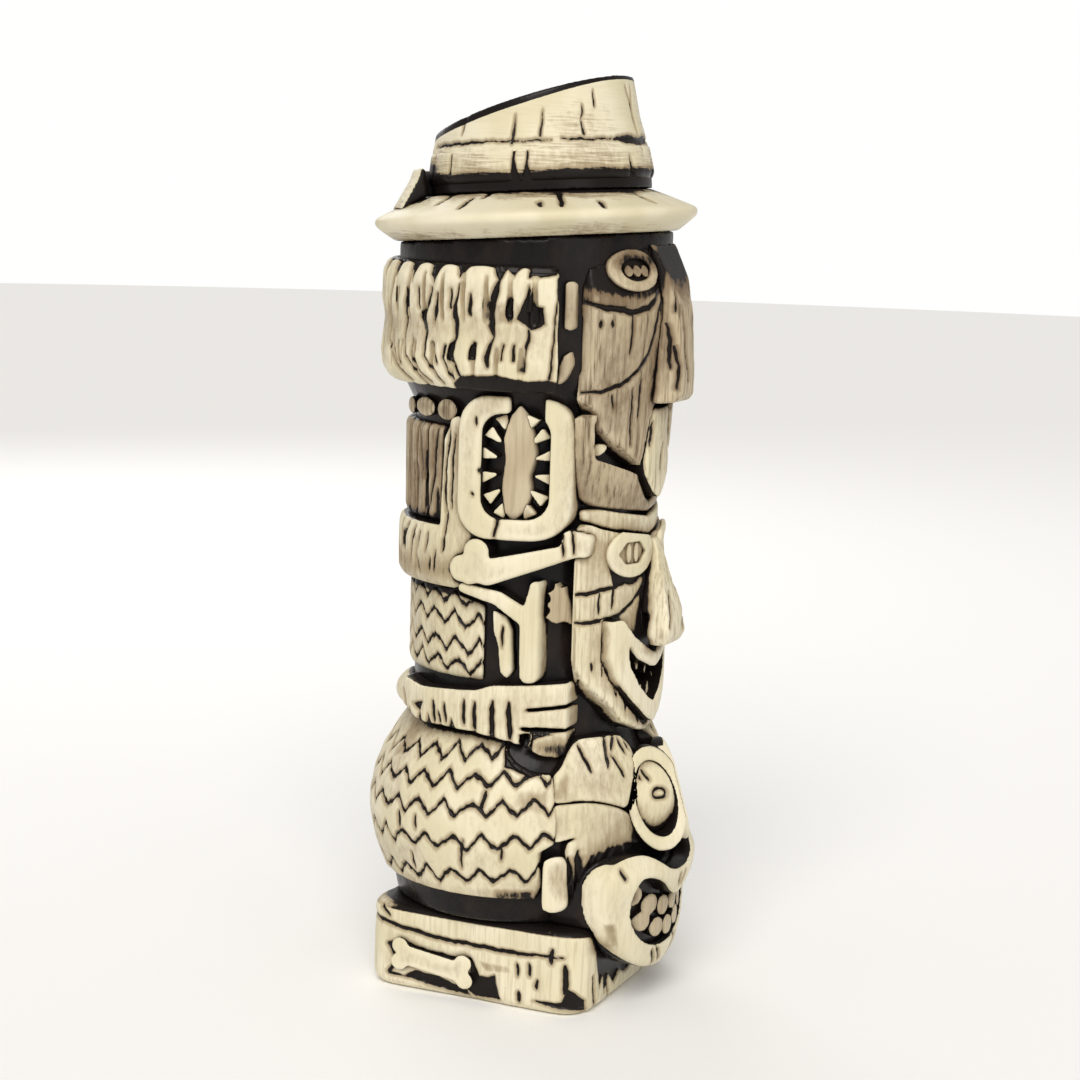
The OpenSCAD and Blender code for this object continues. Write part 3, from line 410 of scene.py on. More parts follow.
# kind: lines as (half width in mm, [(degrees from the front, height in mm), ...])
STROKES = {
    "hat_crown": [
        (0.25, [(4, 227.5), (1, 224), (0, 216.5)]),
        (0.3, [(140, 211.5), (123, 212.2), (106, 212.8), (95, 213.3)]),
        (0.15, [(95, 213.3), (80, 213.5), (60, 214.2)]),
        (0.2, [(55, 214.6), (40, 214.6), (25, 215)]),
        (0.3, [(112, 220), (113, 215)]), (0.35, [(150, 212), (170, 210.5), (190, 210)]),
    ],
    "hat_band": [(0.3, [(0, 213), (-4, 206)]), (0.3, [(138, 211), (137, 203)])],
    "hair_block": [
        (0.25, [(133, 167), (128, 160)]),
        (0.2, [(117, 165.5), (117, 161.5), (114, 158.5), (108, 155.5)]),
        *[(0.3, [(t - 6, 177), (t - 5, 172)]) for t in BACK_HAIR],
        *[(0.3, [(t - 4, 166), (t - 5, 161)]) for t in BACK_HAIR],
    ],
    "upper_face": [
        (0.5, [
            (46, 154.7), (37, 155), (29, 156.5), (21, 160), (16, 163.7), (14, 169), (11, 177.5),
        ]),
        (0.75, [(46, 176), (36, 175), (26, 174), (18, 175), (14, 177.5), (12.5, 179.5)]),
        (0.3, [(26, 174), (26, 170), (26, 164)]), (0.45, [(40, 172), (40, 170.5)]),
        (0.35, [(35, 172), (35, 170.5)]),
        (0.3, [(19, 157.5), (19, 151.5), (19, 148)]),
        (0.2, [(23, 155.5), (23, 149.5), (22, 141.5)]),
        (0.2, [(33, 154), (32, 150.5)]),
    ],
    "upper_nose": [
        *[(0.25, [(s * 7, 179), (s * 8, 174)]) for s in (1, -1)],
        (0.25, [(3, 174), (3, 165.5), (0, 157)]), (0.25, [(-6, 172), (-7, 160)]),
        *[(0.25, [(s * 10, 171), (s * 9, 165.5), (s * 9, 160)]) for s in (1, -1)],
        *[(0.2, [(s * 8, 165.5), (s * 7, 161), (s * 7, 155)]) for s in (1, -1)],
    ],
    "upper_lip": [
        (0.7, [
            (8, 146.5), (10, 141)]), (0.5, [(-2, 141), (0, 135)]), (0.6, [(-9, 146), (-10, 141),
        ]),
    ],
    "toothed_ring": [
        (0.35, [(80, 119), (79, 122.5), (79, 126)]), (0.3, [(89, 148), (89, 146)]),
        (0.45, [(90, 129.5), (90, 129)]),
        (0.4, [(87, 135.5), (87, 135)]),
    ],
    "slats": [
        (0.4, [(128, 144.5), (126, 139), (124, 133.5)]), (0.35, [(128, 133), (129, 123)]),
        (0.4, [(120, 132), (122, 122)]), (0.45, [(113, 144), (114, 138), (115, 131), (120, 121.5)]),
        (0.5, [(108, 144.5), (108, 136.5), (109, 129.5), (111, 122)]),
        (0.75, [(112, 129), (113, 121)]),
        *[(0.45, [(t, 144.5), (t - 1, 136), (t, 122)]) for t in BACK_SLATS],
        *[(0.35, [(t - 5, 134), (t - 6, 123)]) for t in BACK_SLATS],
    ],
    "cuff_band": [
        (0.35, [(125, 119), (128, 115.5), (129, 110)]), (0.3, [(121, 118), (124, 113), (121, 108)]),
        (0.25, [(115, 118), (117, 113)]), (0.3, [(110, 114), (111, 109)]),
        (0.25, [(113, 112), (114, 109)]),
        (0.45, [(105, 117.5), (106, 114)]), (0.25, [(104, 124), (105, 117.5)]),
        (0.35, [(104, 144.5), (104, 141), (106, 134), (105, 124)]),
        (0.3, [(101, 143), (102, 135), (102, 125)]),
        (0.45, [(132, 119.5), (135, 117), (141, 116)]),
        *[(0.4, [(t + 3, 119.5), (t + 4, 109)]) for t in BACK_SLATS],
    ],
    "bone_club": [(0.3, [(52, 121.5), (51, 115)]), (0.3, [(47, 122), (46.5, 115.5)])],
    "middle_face": [
        (0.5, [(46, 105), (37, 105.5), (27, 106.5), (20, 107)]),
        (0.5, [(46, 98), (32, 98.3), (22, 99.4), (15, 102), (7, 106), (5, 110.5)]),
        (0.25, [(33, 105), (33, 100)]), (0.4, [(26, 106.5), (26, 101.3)]),
        (0.2, [(8, 104), (6, 96)]),
        (0.35, [(30, 96), (30, 88.5), (30, 84.5)]), (0.3, [(36, 88), (35, 86)]),
        (0.5, [(24, 83), (22, 79)]), (0.5, [(16, 77.5), (16, 75)]), (0.5, [(9, 74.5), (7, 71)]),
        (0.7, [(25, 84.5), (22, 82), (16, 77.5), (8, 73.5), (1, 70)]),
        (0.35, [(41, 83.5), (40, 77), (38, 71.5)]), (0.35, [(38, 80), (35, 72)]),
    ],
    "middle_nose": [
        (0.35, [(-5, 110), (-5, 104.5)]), (0.4, [(2, 104.5), (6, 96)]),
        (0.35, [(-7, 98.5), (-6, 94.5)]),
    ],
    "drop": [(0.3, [(76, 97), (76, 92)])],
    "forearm": [
        (0.5, [(108, 76.5), (107.5, 71)]), (0.4, [(102, 76.5), (101, 72)]),
        (0.3, [(105, 74), (104, 71)]),
        (0.45, [(92, 78), (92, 72)]), (0.55, [(87, 78), (87, 70.5)]), (0.7, [(79, 78.5), (79, 68)]),
        (0.7, [(72, 78.5), (71, 69)]),
        (0.35, [(131, 77), (128, 73), (127, 69)]), (0.35, [(135, 77), (132, 72), (131, 68)]),
    ],
    "zigzag_drum": [
        (0.45, [(79, 57), (81, 52)]), (0.45, [(117, 48), (117, 44)]),
        (0.25, [(108, 48.5), (108, 45)]),
        (0.3, [(87, 44.7), (88, 37)]), (0.3, [(111, 38.5), (111, 34)]),
        (0.25, [(72, 43), (72, 40)]),
    ],
    "brow": [
        (0.4, [(41, 68), (37, 61.5)]), (0.5, [(27, 69.5), (29, 62)]), (0.5, [(22, 69), (25, 66)]),
        (0.3, [(26, 65), (21, 59)]), (0.4, [(20, 68), (18, 64.5)]), (0.5, [(16, 67.5), (15, 65.5)]),
    ],
    "cheek": [
        (0.6, [(47, 40.5), (46, 36.5), (48, 32.5)]), (0.8, [(43, 42), (42, 30)]),
        (0.6, [(37, 40.5), (39, 29)]),
        (0.35, [(34, 41), (37, 34)]), (0.4, [(28, 42), (31, 38)]), (0.4, [(45, 33), (45, 27)]),
    ],
    "lower_eyeball": [
        (0.3, PUPIL),
        (0.25, [(12, 60), (11, 57.5)]), (0.3, [(14.5, 60.5), (13.5, 58)]),
    ],
    "lower_lips": [
        (0.3, [(31, 38), (30, 35.5)]), (0.25, [(8, 14.5), (4, 10)]), (0.25, [(11, 14), (8, 9.5)]),
        (0.25, [(2, 33), (1, 30)]),
    ],
    "plinth": [
        (0.5, [
            (150, 17.5), (136, 17.5), (121, 16), (105, 14.8), (91, 14.8), (68, 14.5), (48, 15.2),
        ]),
        (0.45, [(52, 17.2), (52, 13.3)]), (0.6, [(53, 15.2), (51, 15.2)]),
        (0.45, [
            (123, 13), (118, 11.4), (108, 10.7), (99, 10.4), (89, 10.9), (87, 7.7), (90, 6.7),
            (89, 3),
        ]),
        (0.4, [(123, 13), (128, 11), (124.5, 7), (128, 3.5), (122, 3.5)]),
        (0.35, [(65, 12), (65, 8.7)]), (0.35, [(60, 12.5), (60, 9.2)]), (0.5, [(64, 4.8), (64, 2)]),
        (0.3, [(57, 8.5), (57, 6.2)]), (0.7, [(47, 13.2), (47, 6)]), (0.3, [(35, 9.5), (33, 1)]),
        (0.35, [(22, 6), (20, 1)]), (0.35, [(26, 10), (24, 3)]), (0.4, [(133, 21), (128, 18.5)]),
    ],
}

# kind: slits as [(degrees from the front, height, half width in mm), ...]
SLITS = {
    "hat_crown": [
        [(80, 219.5, 0.05), (80, 216, 0.4), (81, 213, 0.3)],
        [(65, 221, 0.05), (65, 218, 0.2), (66, 215, 0.25)],
        [(42, 222.5, 0.1), (42, 220.5, 0.25), (43, 219.4, 0.05)],
        [(43, 218.8, 0.1), (42, 216, 0.4)],
        [(34, 226, 0.05), (34, 222.5, 0.25)],
    ],
    "hat_band": [
        [(79, 211.5, 0.15), (79, 209, 0.35), (78, 205.5, 1.2)],
        [(72, 211.2, 0.1), (72, 208.5, 0.3), (72, 205.5, 1.1)],
        [(118, 209.5, 0.1), (118, 205, 0.6)], [(160, 209, 0.1), (160, 204, 0.6)],
        [(14, 211, 0.1), (13, 206.5, 0.9)],
    ],
    "hair_block": [
        [
            (130, 182, 0.1), (133, 178, 0.2), (136, 171, 0.25), (136, 165, 0.2), (129, 159, 0.2),
            (120, 155.5, 0.1),
        ],
        [
            (121, 178, 0.05), (121, 174.5, 0.6), (122, 171, 0.5), (123, 167, 0.2),
            (121, 161.5, 0.15), (111, 155, 0.15),
        ],
        [(127, 177.5, 0.1), (128, 173.5, 0.25)], [(114, 178, 0.2), (113, 173.5, 0.3)],
        [(127, 164.5, 0.2), (126, 159.5, 0.25)],
        [
            (107, 178.5, 0.1), (108, 175, 0.35), (112, 171, 0.6), (110, 168, 0.3), (110, 162, 0.2),
            (102, 155.5, 0.1),
        ],
        [(104, 177, 0.25), (104, 173.5, 0.5), (106, 170.5, 0.2)],
        [
            (94, 179.5, 0.1), (96, 175, 0.35), (96, 171.5, 0.65), (96, 167, 0.25), (98, 163, 0.5),
            (94, 157.5, 0.2),
        ],
        [(98, 178.5, 0.15), (98, 174, 0.25)], [(106, 165, 0.2), (104, 160.5, 0.25)],
        [(100, 165, 0.25), (101, 162, 0.2), (97, 157, 0.15)],
        [(90, 177.5, 0.1), (90, 175, 0.45), (90, 172.5, 0.35)],
        [
            (79, 181, 0.2), (82, 175.5, 1.1), (82, 170.5, 0.85), (81, 167.5, 0.1), (83, 163, 0.6),
            (83, 160.5, 0.3),
        ],
        [(88, 166, 0.3), (89, 162.5, 0.45)], [(75, 176.5, 0.1), (75, 173, 0.4)],
        [(68, 169.5, 0.15), (68, 167, 0.35), (69, 164.5, 0.15), (70, 160, 0.45)],
        [(77, 166, 0.15), (78, 162.5, 0.3)], [(73, 166, 0.15), (73, 162.5, 0.35)],
        [(57, 181.5, 0.2), (58, 173.5, 0.15), (59, 164, 0.15), (60, 158, 0.2)],
        *[
            [(t, 178, 0.1), (t + 1, 171, 0.6), (t, 166, 0.2), (t, 161, 0.3), (t - 5, 155, 0.15)]
            for t in BACK_HAIR
        ],
    ],
}

# kind: dark closed shapes, with corners in the same units
PATCHES = {
    "hat_crown": [[(25, 214.8), (13, 216), (0, 215.4), (0, 213.8), (10, 214)]],
    "hair_block": [
        [
            (68, 180), (66, 175), (63, 175), (62, 171), (67, 169.5), (69, 170.5), (72, 172),
            (70, 176),
        ],
        [(68, 182), (60, 183), (52, 183), (52, 187), (68, 187)],
        *[[(t - 3.5, 186), (t + 3.5, 186), (t, z - 0.8)] for t, z in HAIR_NOTCHES],
    ],
    "cuff_band": [[(141, 116), (136, 116.5), (136, 112), (141, 113)]],
    "middle_face": [[(28, 111.5), (26, 107), (14, 106.8), (6, 109), (12, 110), (20, 109.5)]],
    "forearm": [
        [(122, 74.5), (115, 75.5), (117, 73)],
        [(67, 70.5), (66, 68), (62, 66), (61, 69.5), (53, 71), (60, 72)],
        *[[(t - 1.5, 70), (t, 73), (t + 1.5, 70)] for t in (98, 111, 117, 125)],
    ],
    "zigzag_drum": [[(73, 62.8), (62, 60.8), (50, 62.5), (50, 70), (73, 70)]],
    "plinth": [
        [(122, 3.3), (117, 5.2), (108, 5), (91, 2.9), (89, 1), (102, 1.5), (113, 2.5)],
        [(88, 11), (84, 6.8), (79, 6.8), (76, 8), (73, 1.7), (86, 0.8), (90, 3)],
        [(58, 2.9), (48, 3.6), (46, 7), (42, 5.5), (39, 4), (38.5, 0.8), (49, 1.9)],
        [
            (36, 22), (33, 17), (31, 10), (29, 5.5), (26, 8), (23, 4), (20, 7), (14, 4), (8, 6),
            (0, 4.5), (0, 22),
        ],
    ],
}

# half width in mm, [(outward, forward) in mm] on the brim's upper side
BRIM_DASHES = [
    (0.5, [(31.5, -12.5), (25, -10.5)]), (0.5, [(36, -4.5), (30, -3.5)]),
    (0.5, [(24.5, -20.5), (19, -18.5)]),
    (0.45, [(31, -0.5), (27, 0)]), (0.45, [(30.5, 14), (33, 15.5)]), (0.5, [(24, 16), (31, 20)]),
    (0.45, [(22.5, 26), (25.5, 28.5)]), (0.5, [(10, -27), (12, -32)]), (0.45, [(9, 30), (10, 35)]),
]

# kind: wash over a closed shape, and how much is added
STAINS = {
    "upper_face": [
        ([(46, 183), (38, 181.5), (31, 179.5), (25, 178), (14, 179), (26, 174.5), (46, 176)], 0.8),
    ],
    "hair_block": [
        ([(80, 175), (75, 177), (70, 175), (71, 171.5), (79, 171)], 0.9),
        ([(55, 158), (69, 157.5), (78, 158.5), (93, 158), (97, 156), (97, 150), (55, 150)], 3.0),
    ],
    "lower_lips": [([(36, 24.5), (32, 24), (27, 14.5), (33, 18)], 1.4)],
    "plinth": [
        ([(84, 11), (68, 11), (66, 9), (80, 8.5)], 1.2),
        ([(31, 12), (25, 12), (17, 1), (25, 1)], 0.9),
    ],
    "brow": [([(58, 66), (46, 64), (48, 55), (58, 56)], 0.8)],
    "zigzag_drum": [
        ([(75, 32), (60, 32), (60, 27), (75, 28)], 0.9),
        ([(66, 57), (56, 57), (56, 52), (68, 54)], 0.6),
        ([(132, 70), (122, 68), (122, 62), (132, 60)], 0.5),
    ],
    "slats": [
        ([(123, 138), (118, 138), (119, 131), (124, 131)], 0.6),
        ([(180, 150), (105, 150), (105, 118), (180, 118)], 0.35),
    ],
    "cheek": [
        ([(50, 41), (40, 41), (42, 27), (50, 27)], 0.7),
        ([(48, 33), (30, 33), (34, 25), (48, 25)], 0.8),
    ],
}

# kind: (height where the darkening starts, height where it is full, how much is added); painted
# shade of the hat brim on the upper mask's tops and painted shade deep in the lower mouth,
# elsewhere just darker toward the given height; less than nought keeps a deep piece pale
SHADE_AND_WASH_BY_HEIGHT = {
    # the upper mask's tops: painted shade under the hat brim, over the dark wash
    "upper_nose": (174, 186, 2.0),
    "upper_eye_ring": (182, 186.5, 1.5),
    "upper_face": (177, 184, 2.2),
    "slats": (124, 120, 1.5),
    "forearm": (72, 67, 1.3),
    "cheek": (34, 28, 1.4),
    "zigzag_drum": (33, 28.5, 1.4),
    "plinth": (20, 20.7, 3.0),
    # the tops of the hair and the eye beads: painted shade under the hat brim, over the dark wash
    "hair_block": (181, 184.5, 0.8),
    "upper_eye_beads": (178, 186, 1.2),
    # painted shade deep in the lower mouth
    "lower_teeth": (60, 50, 0.55),
    "middle_teeth": (100, 95, 0.4),
    "middle_pupils": (130, 120, 0.3),
    "cuff_band": (115, 108.5, 0.8),
    "middle_face": (82, 70, 0.8),
    "brow": (67, 71, 0.8),
    "zigzag_panel": (102, 105, 1.8),
    "ring_tongue": (100, 110, -0.9),
    "ear_tuft": (80, 90, -0.6),
}

# how far a piece sinks toward its lines, in mm, and over what distance
PILLOW_ELSE = 0.3
PILLOW_SPREAD = 0.9
PILLOW = {
    "hair_block": 0.6, "slats": 0.5, "cuff_band": 0.5, "forearm": 0.4, "brow": 0.4, "cheek": 0.4,
}

# kind: (mesh cell in mm, softening in mm, grain of the wash, swelling in mm)
SHAPES = {
    "vessel": (0.9, 0.7, 0.0, 0.0),
    "plinth": (0.42, 1.4, 0.3, 0.0),
    "hat_brim": (0.5, 0.6, 0.0, 0.0),
    "brim_flap": (0.4, 0.5, 0.1, 0.0),
    "hat_band": (0.36, 0.6, 0.1, 0.0),
    "hat_crown": (0.4, 0.35, 0.1, 0.0),
    "hair_block": (0.34, 0.6, 0.15, 0.1),
    "sideburn": (0.32, 0.5, 0.3, 0.1),
    "upper_face": (0.34, 0.5, 0.8, 0.1),
    "upper_nose": (0.34, 0.7, 0.75, 0.0),
    "upper_eye_ring": (0.28, 0.4, 0.3, 0.1),
    "upper_eye_beads": (0.28, 0.25, 0.3, 0.0),
    "upper_lip": (0.34, 0.6, 0.7, 0.1),
    "upper_jaw": (0.34, 0.5, 0.8, 0.1),
    "upper_teeth": (0.3, 0.35, 0.1, 0.0),
    "headband": (0.34, 0.45, 0.45, 0.1),
    "slats": (0.34, 0.5, 0.75, 0.15),
    "cuff_band": (0.34, 0.55, 0.35, 0.1),
    "toothed_ring": (0.32, 0.7, 0.1, 0.15),
    "ring_teeth": (0.28, 0.3, 0.0, 0.0),
    "ring_tongue": (0.32, 0.5, 0.25, 0.0),
    "middle_face": (0.34, 0.5, 0.65, 0.1),
    "middle_nose": (0.34, 0.7, 0.6, 0.0),
    "middle_eye_ring": (0.28, 0.4, 0.15, 0.1),
    "middle_pupils": (0.28, 0.3, 0.1, 0.0),
    "middle_lips": (0.32, 0.6, 0.2, 0.1),
    "middle_teeth": (0.3, 0.35, 0.1, 0.0),
    "ear_tuft": (0.32, 0.4, 0.4, 0.0),
    "bone_club": (0.34, 0.7, 0.1, 0.1),
    "staff": (0.34, 0.65, 0.15, 0.1),
    "drop": (0.32, 0.6, 0.2, 0.0),
    "zigzag_panel": (0.36, 0.5, 0.1, 0.15),
    "forearm": (0.34, 0.6, 0.3, 0.15),
    "zigzag_drum": (0.42, 0.45, 0.1, 0.2),
    "brow": (0.36, 0.5, 0.4, 0.2),
    "cheek": (0.36, 0.5, 0.45, 0.2),
    "lower_eye_ring": (0.34, 0.65, 0.1, 0.15),
    "lower_eyeball": (0.32, 0.4, 0.1, 0.0),
    "muzzle": (0.7, 0.7, 0.0, 0.0),
    "lower_lips": (0.36, 0.75, 0.15, 0.15),
    "lower_teeth": (0.34, 0.5, 0.3, 0.1),
    "ear_tab": (0.34, 0.65, 0.1, 0.1),
    "plinth_bone": (0.3, 0.35, 0.05, 0.0),
}
# kinds whose steep side walls hold the black wash
WALLED = (
    "hair_block", "sideburn", "upper_lip", "slats", "cuff_band", "toothed_ring", "ring_teeth",
    "ring_tongue", "middle_lips", "middle_teeth", "ear_tuft", "bone_club", "staff", "drop",
    "zigzag_panel", "forearm", "zigzag_drum", "brow", "cheek", "lower_eye_ring", "lower_lips",
    "lower_teeth", "ear_tab", "plinth_bone",
)
CUT_DEPTH = 0.75
CUT_EDGE = 0.35
STAIN_EDGE = 0.8
# how squarely a surface faces out from the axis, from nothing to the full effect
OPEN_FACING = (0.0, 0.3)
WALL_FACING = (0.42, 0.18)
WELL_FACING = (-0.2, -0.5)
INNER_FACING = (-0.5, -0.7)
CROWN_FACING = (0.5, 0.8)
FLAP_ASIDE = (0.55, 0.75)
# how squarely the brim faces up, where it is cut, and down, where shade is painted on its underside
BRIM_UP = (0.5, 0.8)
BRIM_DOWN = (-0.1, -0.4)
# the drinking mouth's plane, and how far its black glaze runs down outside
RIM_Z = 222.4
RIM_SLANT = math.radians(19.4)
LIP_FRONT = 1.1
LIP_MORE = 0.7
LIP_TURNS = (20, 80)
LIP_SOFT = 0.6
# the hat leans, so its own heights start at HAT_Z and lean with it
HAT = ("hat_brim", "brim_flap", "hat_band", "hat_crown")
HAT_Z = 190.5
HAT_TILT = math.radians(4.3)
BAND_TOP = (20.6, 20.0)
BAND_WASH = (17.0, 13.9)
BAND_SOOT = 2.4
BAND_IN = 0.25
CROWN_SWELL = 0.8
CROWN_SWELL_LIFT = (29, 21.3)
BRIM_UNDERSIDE_SHADE = 0.5
ZIGZAGS = {
    "zigzag_drum": {
        "rows": ((65.4, 61), (58.9, 61), (52, 61), (43.6, 68), (34.6, 69)),
        "wave": 11.8, "rise": 3.7, "half": 0.32, "fall": 0.06,
    },
    "zigzag_panel": {
        "rows": ((102.5, 103), (97, 103), (90.6, 101.5), (85.5, 100)),
        "wave": 13.6, "rise": 3.6, "half": 0.36, "fall": -0.02,
    },
}


def kind_of(node):
    for side in ("_right", "_left"):
        if node.endswith(side):
            return node[:-len(side)]
    return node


def softened(node, kind):
    """A piece's mesh with rounded corners, swollen a little."""
    voxel, softening, _, swelling = SHAPES[kind]
    mesh = remeshed(node, voxel)
    edges = read(mesh, mesh.edges, "vertices", 2, np.int32)
    rounds = max(1, round(4 * (softening / voxel / COARSE) ** 2))
    points = relaxed(points_of(mesh), edges, rounds)
    put_points(mesh, points)
    if swelling:
        points += swelling * normals_of(mesh)
        put_points(mesh, points)
    return mesh, points


def line_distance(kind, points, normals, facing):
    """Distance to the nearest line that is cut here, on the sides that show."""
    ink = drawn(kind, points)
    if kind in ZIGZAGS:
        ink = np.minimum(ink, zigzag(points, **ZIGZAGS[kind]))
    if kind == "hat_brim":
        open_side = step(normals[:, 2], *BRIM_UP)
    else:
        open_side = step(facing, *OPEN_FACING)
    return FAR - (FAR - ink) * (open_side > 0.5), open_side


def added_wash_and_shade(kind, points):
    """Wash and painted shade that the tables add to a piece, by height and by closed shape."""
    shade_and_wash = np.zeros(len(points))
    if kind in SHADE_AND_WASH_BY_HEIGHT:
        low, high, amount = SHADE_AND_WASH_BY_HEIGHT[kind]
        shade_and_wash += amount * step(points[:, 2], low, high)
    for outline, amount in STAINS.get(kind, []):
        away = to_patch(flat_of(kind, points), unrolled(outline))
        shade_and_wash += amount * step(away, STAIN_EDGE, -STAIN_EDGE)
    return shade_and_wash


def dress_hat(kind, points, normals, spoke, facing, shade_and_wash, black):
    """The hat's own black parts, wash, painted shade on the brim's underside, and swelling. Moves
    the points and adds to the wash and painted shade.
    """
    back, rise = points[:, 1], points[:, 2]
    lift = back * math.sin(HAT_TILT) + (rise - HAT_Z) * math.cos(HAT_TILT)
    if kind == "hat_crown":
        over_rim = back * math.sin(RIM_SLANT) + (rise - RIM_Z) * math.cos(RIM_SLANT)
        lip = LIP_FRONT + LIP_MORE * step(turn_of(points), *LIP_TURNS)
        black = np.maximum(step(over_rim + lip, -LIP_SOFT, LIP_SOFT), step(facing, *WELL_FACING))
        black = np.maximum(black, step(lift, *BAND_TOP))
        swell = CROWN_SWELL * step(lift, *CROWN_SWELL_LIFT) * step(facing, *CROWN_FACING)
        points[:, :2] += swell[:, None] * spoke
    elif kind == "hat_band":
        shade_and_wash += BAND_SOOT * step(lift, *BAND_WASH)
        points[:, :2] -= BAND_IN * spoke
    else:
        black = step(facing, *INNER_FACING)
        if kind == "brim_flap":
            aside = np.abs(normals[:, 0] * spoke[:, 1] - normals[:, 1] * spoke[:, 0])
            black = np.maximum(black, step(aside, *FLAP_ASIDE))
        # painted shade: the brim and flap are browned where they face down
        shade_and_wash += BRIM_UNDERSIDE_SHADE * step(normals[:, 2], *BRIM_DOWN)
    return black


def shaped(node):
    """One piece: its mesh in millimetres, with its carved lines and its own paint values."""
    kind = kind_of(node)
    mesh, points = softened(node, kind)
    normals = normals_of(mesh)
    spoke = np.stack([points[:, 0], points[:, 1]], 1)
    spoke /= np.maximum(np.hypot(*spoke.T), 1e-6)[:, None]
    facing = (normals[:, :2] * spoke).sum(1)
    ink, open_side = line_distance(kind, points, normals, facing)
    pillow = PILLOW.get(kind, PILLOW_ELSE) * np.exp(-np.maximum(ink, 0) / PILLOW_SPREAD)
    cut = CUT_DEPTH * step(ink, CUT_EDGE, -CUT_EDGE)
    points -= normals * ((cut + pillow) * open_side)[:, None]
    put_points(mesh, points)
    # painted shade under the hat brim and in the lower mouth, with the wash, added by height and by
    # shape
    shade_and_wash = added_wash_and_shade(kind, points)
    black = step(facing, *WALL_FACING) if kind in WALLED else np.zeros(len(points))
    if kind in ("vessel", "muzzle"):
        black[:] = 1
    if kind in HAT:
        black = dress_hat(kind, points, normals, spoke, facing, shade_and_wash, black)
    return {
        "mesh": mesh, "points": points, "ink": ink, "black": black, "shade_and_wash": shade_and_wash,
        "grain": SHAPES[kind][2], "brush": float(kind in HAT),
    }


# how much the wash gathers below the skin's near and wide surroundings
NEAR_SHARE = 0.8
WIDE_SHARE = 0.35
NEAR_SPREAD = 1.3
WIDE_SPREAD = 4.0


def finished(node, piece, near_map, wide_map, paint):
    """Writes a piece's paint values and hands it to the frame."""
    points, mesh = piece["points"], piece["mesh"]
    radius = np.hypot(points[:, 0], points[:, 1])
    sink = NEAR_SHARE * (sampled(near_map, points) - radius)
    sink = sink + WIDE_SHARE * (sampled(wide_map, points) - radius)
    layers = {
        "ink": np.clip(piece["ink"], -3, 3),
        # the sink also carries the painted shade and the wash that the tables add
        "sink": np.clip(sink + piece["shade_and_wash"], -4, 6),
        "black": piece["black"],
        "grain": np.full(len(points), piece["grain"]),
        "brush": np.full(len(points), piece["brush"]),
    }
    for name, values in layers.items():
        layer = mesh.attributes.new(name, "FLOAT", "POINT")
        layer.data.foreach_set("value", values.astype(np.float32))
    put_points(mesh, points * MM)
    mesh.polygons.foreach_set("use_smooth", np.ones(len(mesh.polygons), bool))
    mesh.materials.append(paint)
    mesh.update()
    obj = bpy.data.objects.new(node + "_clay", mesh)
    mesh.name = obj.name
    bpy.context.scene.collection.objects.link(obj)
    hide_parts(node)
    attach(obj, "root")


# ---- the glaze ----


class Graph:
    """Small helper that adds shader nodes and links them."""

    def __init__(self, name):
        self.paint = bpy.data.materials.new(name)
        self.paint.use_nodes = True
        self.tree = self.paint.node_tree
        self.shader = self.tree.nodes["Principled BSDF"]

    def plug(self, socket, value):
        if isinstance(value, bpy.types.NodeSocket):
            self.tree.links.new(value, socket)
        elif value is not None:
            socket.default_value = value

    def value(self, name):
        node = self.tree.nodes.new("ShaderNodeAttribute")
        node.attribute_name = name
        return node.outputs["Fac"]

    def calc(self, how, a, b=None):
        node = self.tree.nodes.new("ShaderNodeMath")
        node.operation = how
        self.plug(node.inputs[0], a)
        self.plug(node.inputs[1], b)
        return node.outputs[0]

    def ramp(self, value, low, high, to_low=0.0, to_high=1.0):
        node = self.tree.nodes.new("ShaderNodeMapRange")
        node.interpolation_type = "SMOOTHSTEP"
        ends = {"From Min": low, "From Max": high, "To Min": to_low, "To Max": to_high}
        for key, number in ends.items():
            self.plug(node.inputs[key], number)
        self.plug(node.inputs["Value"], value)
        return node.outputs["Result"]

    def noise(self, scale, stretch=1.0, detail=3.0, rough=0.55):
        """Noise whose scale is per millimetre, stretched upright."""
        place = self.tree.nodes.new("ShaderNodeTexCoord")
        mapping = self.tree.nodes.new("ShaderNodeMapping")
        mapping.inputs["Scale"].default_value = (1 / MM, 1 / MM, 1 / MM / stretch)
        self.tree.links.new(place.outputs["Object"], mapping.inputs["Vector"])
        node = self.tree.nodes.new("ShaderNodeTexNoise")
        node.inputs["Scale"].default_value = scale
        node.inputs["Detail"].default_value = detail
        node.inputs["Roughness"].default_value = rough
        self.tree.links.new(mapping.outputs["Vector"], node.inputs["Vector"])
        return node.outputs["Fac"]

    def mix(self, share, a, b):
        node = self.tree.nodes.new("ShaderNodeMix")
        node.data_type = "RGBA"
        self.plug(node.inputs["Factor"], share)
        for socket, colour in zip([s for s in node.inputs if s.type == "RGBA"], (a, b)):
            self.plug(socket, (*colour, 1) if isinstance(colour, tuple) else colour)
        return [s for s in node.outputs if s.type == "RGBA"][0]

    def bump(self, height, strength, distance):
        """Fine relief of the glaze, with the distance in mm."""
        node = self.tree.nodes.new("ShaderNodeBump")
        node.inputs["Strength"].default_value = strength
        node.inputs["Distance"].default_value = distance * MM
        self.plug(node.inputs["Height"], height)
        self.plug(self.shader.inputs["Normal"], node.outputs["Normal"])

    def gloss(self, coat, coat_rough):
        self.shader.inputs["IOR"].default_value = GLAZE_IOR
        self.shader.inputs["Specular IOR Level"].default_value = GLAZE_SPECULAR
        self.shader.inputs["Coat Weight"].default_value = coat
        self.shader.inputs["Coat Roughness"].default_value = coat_rough


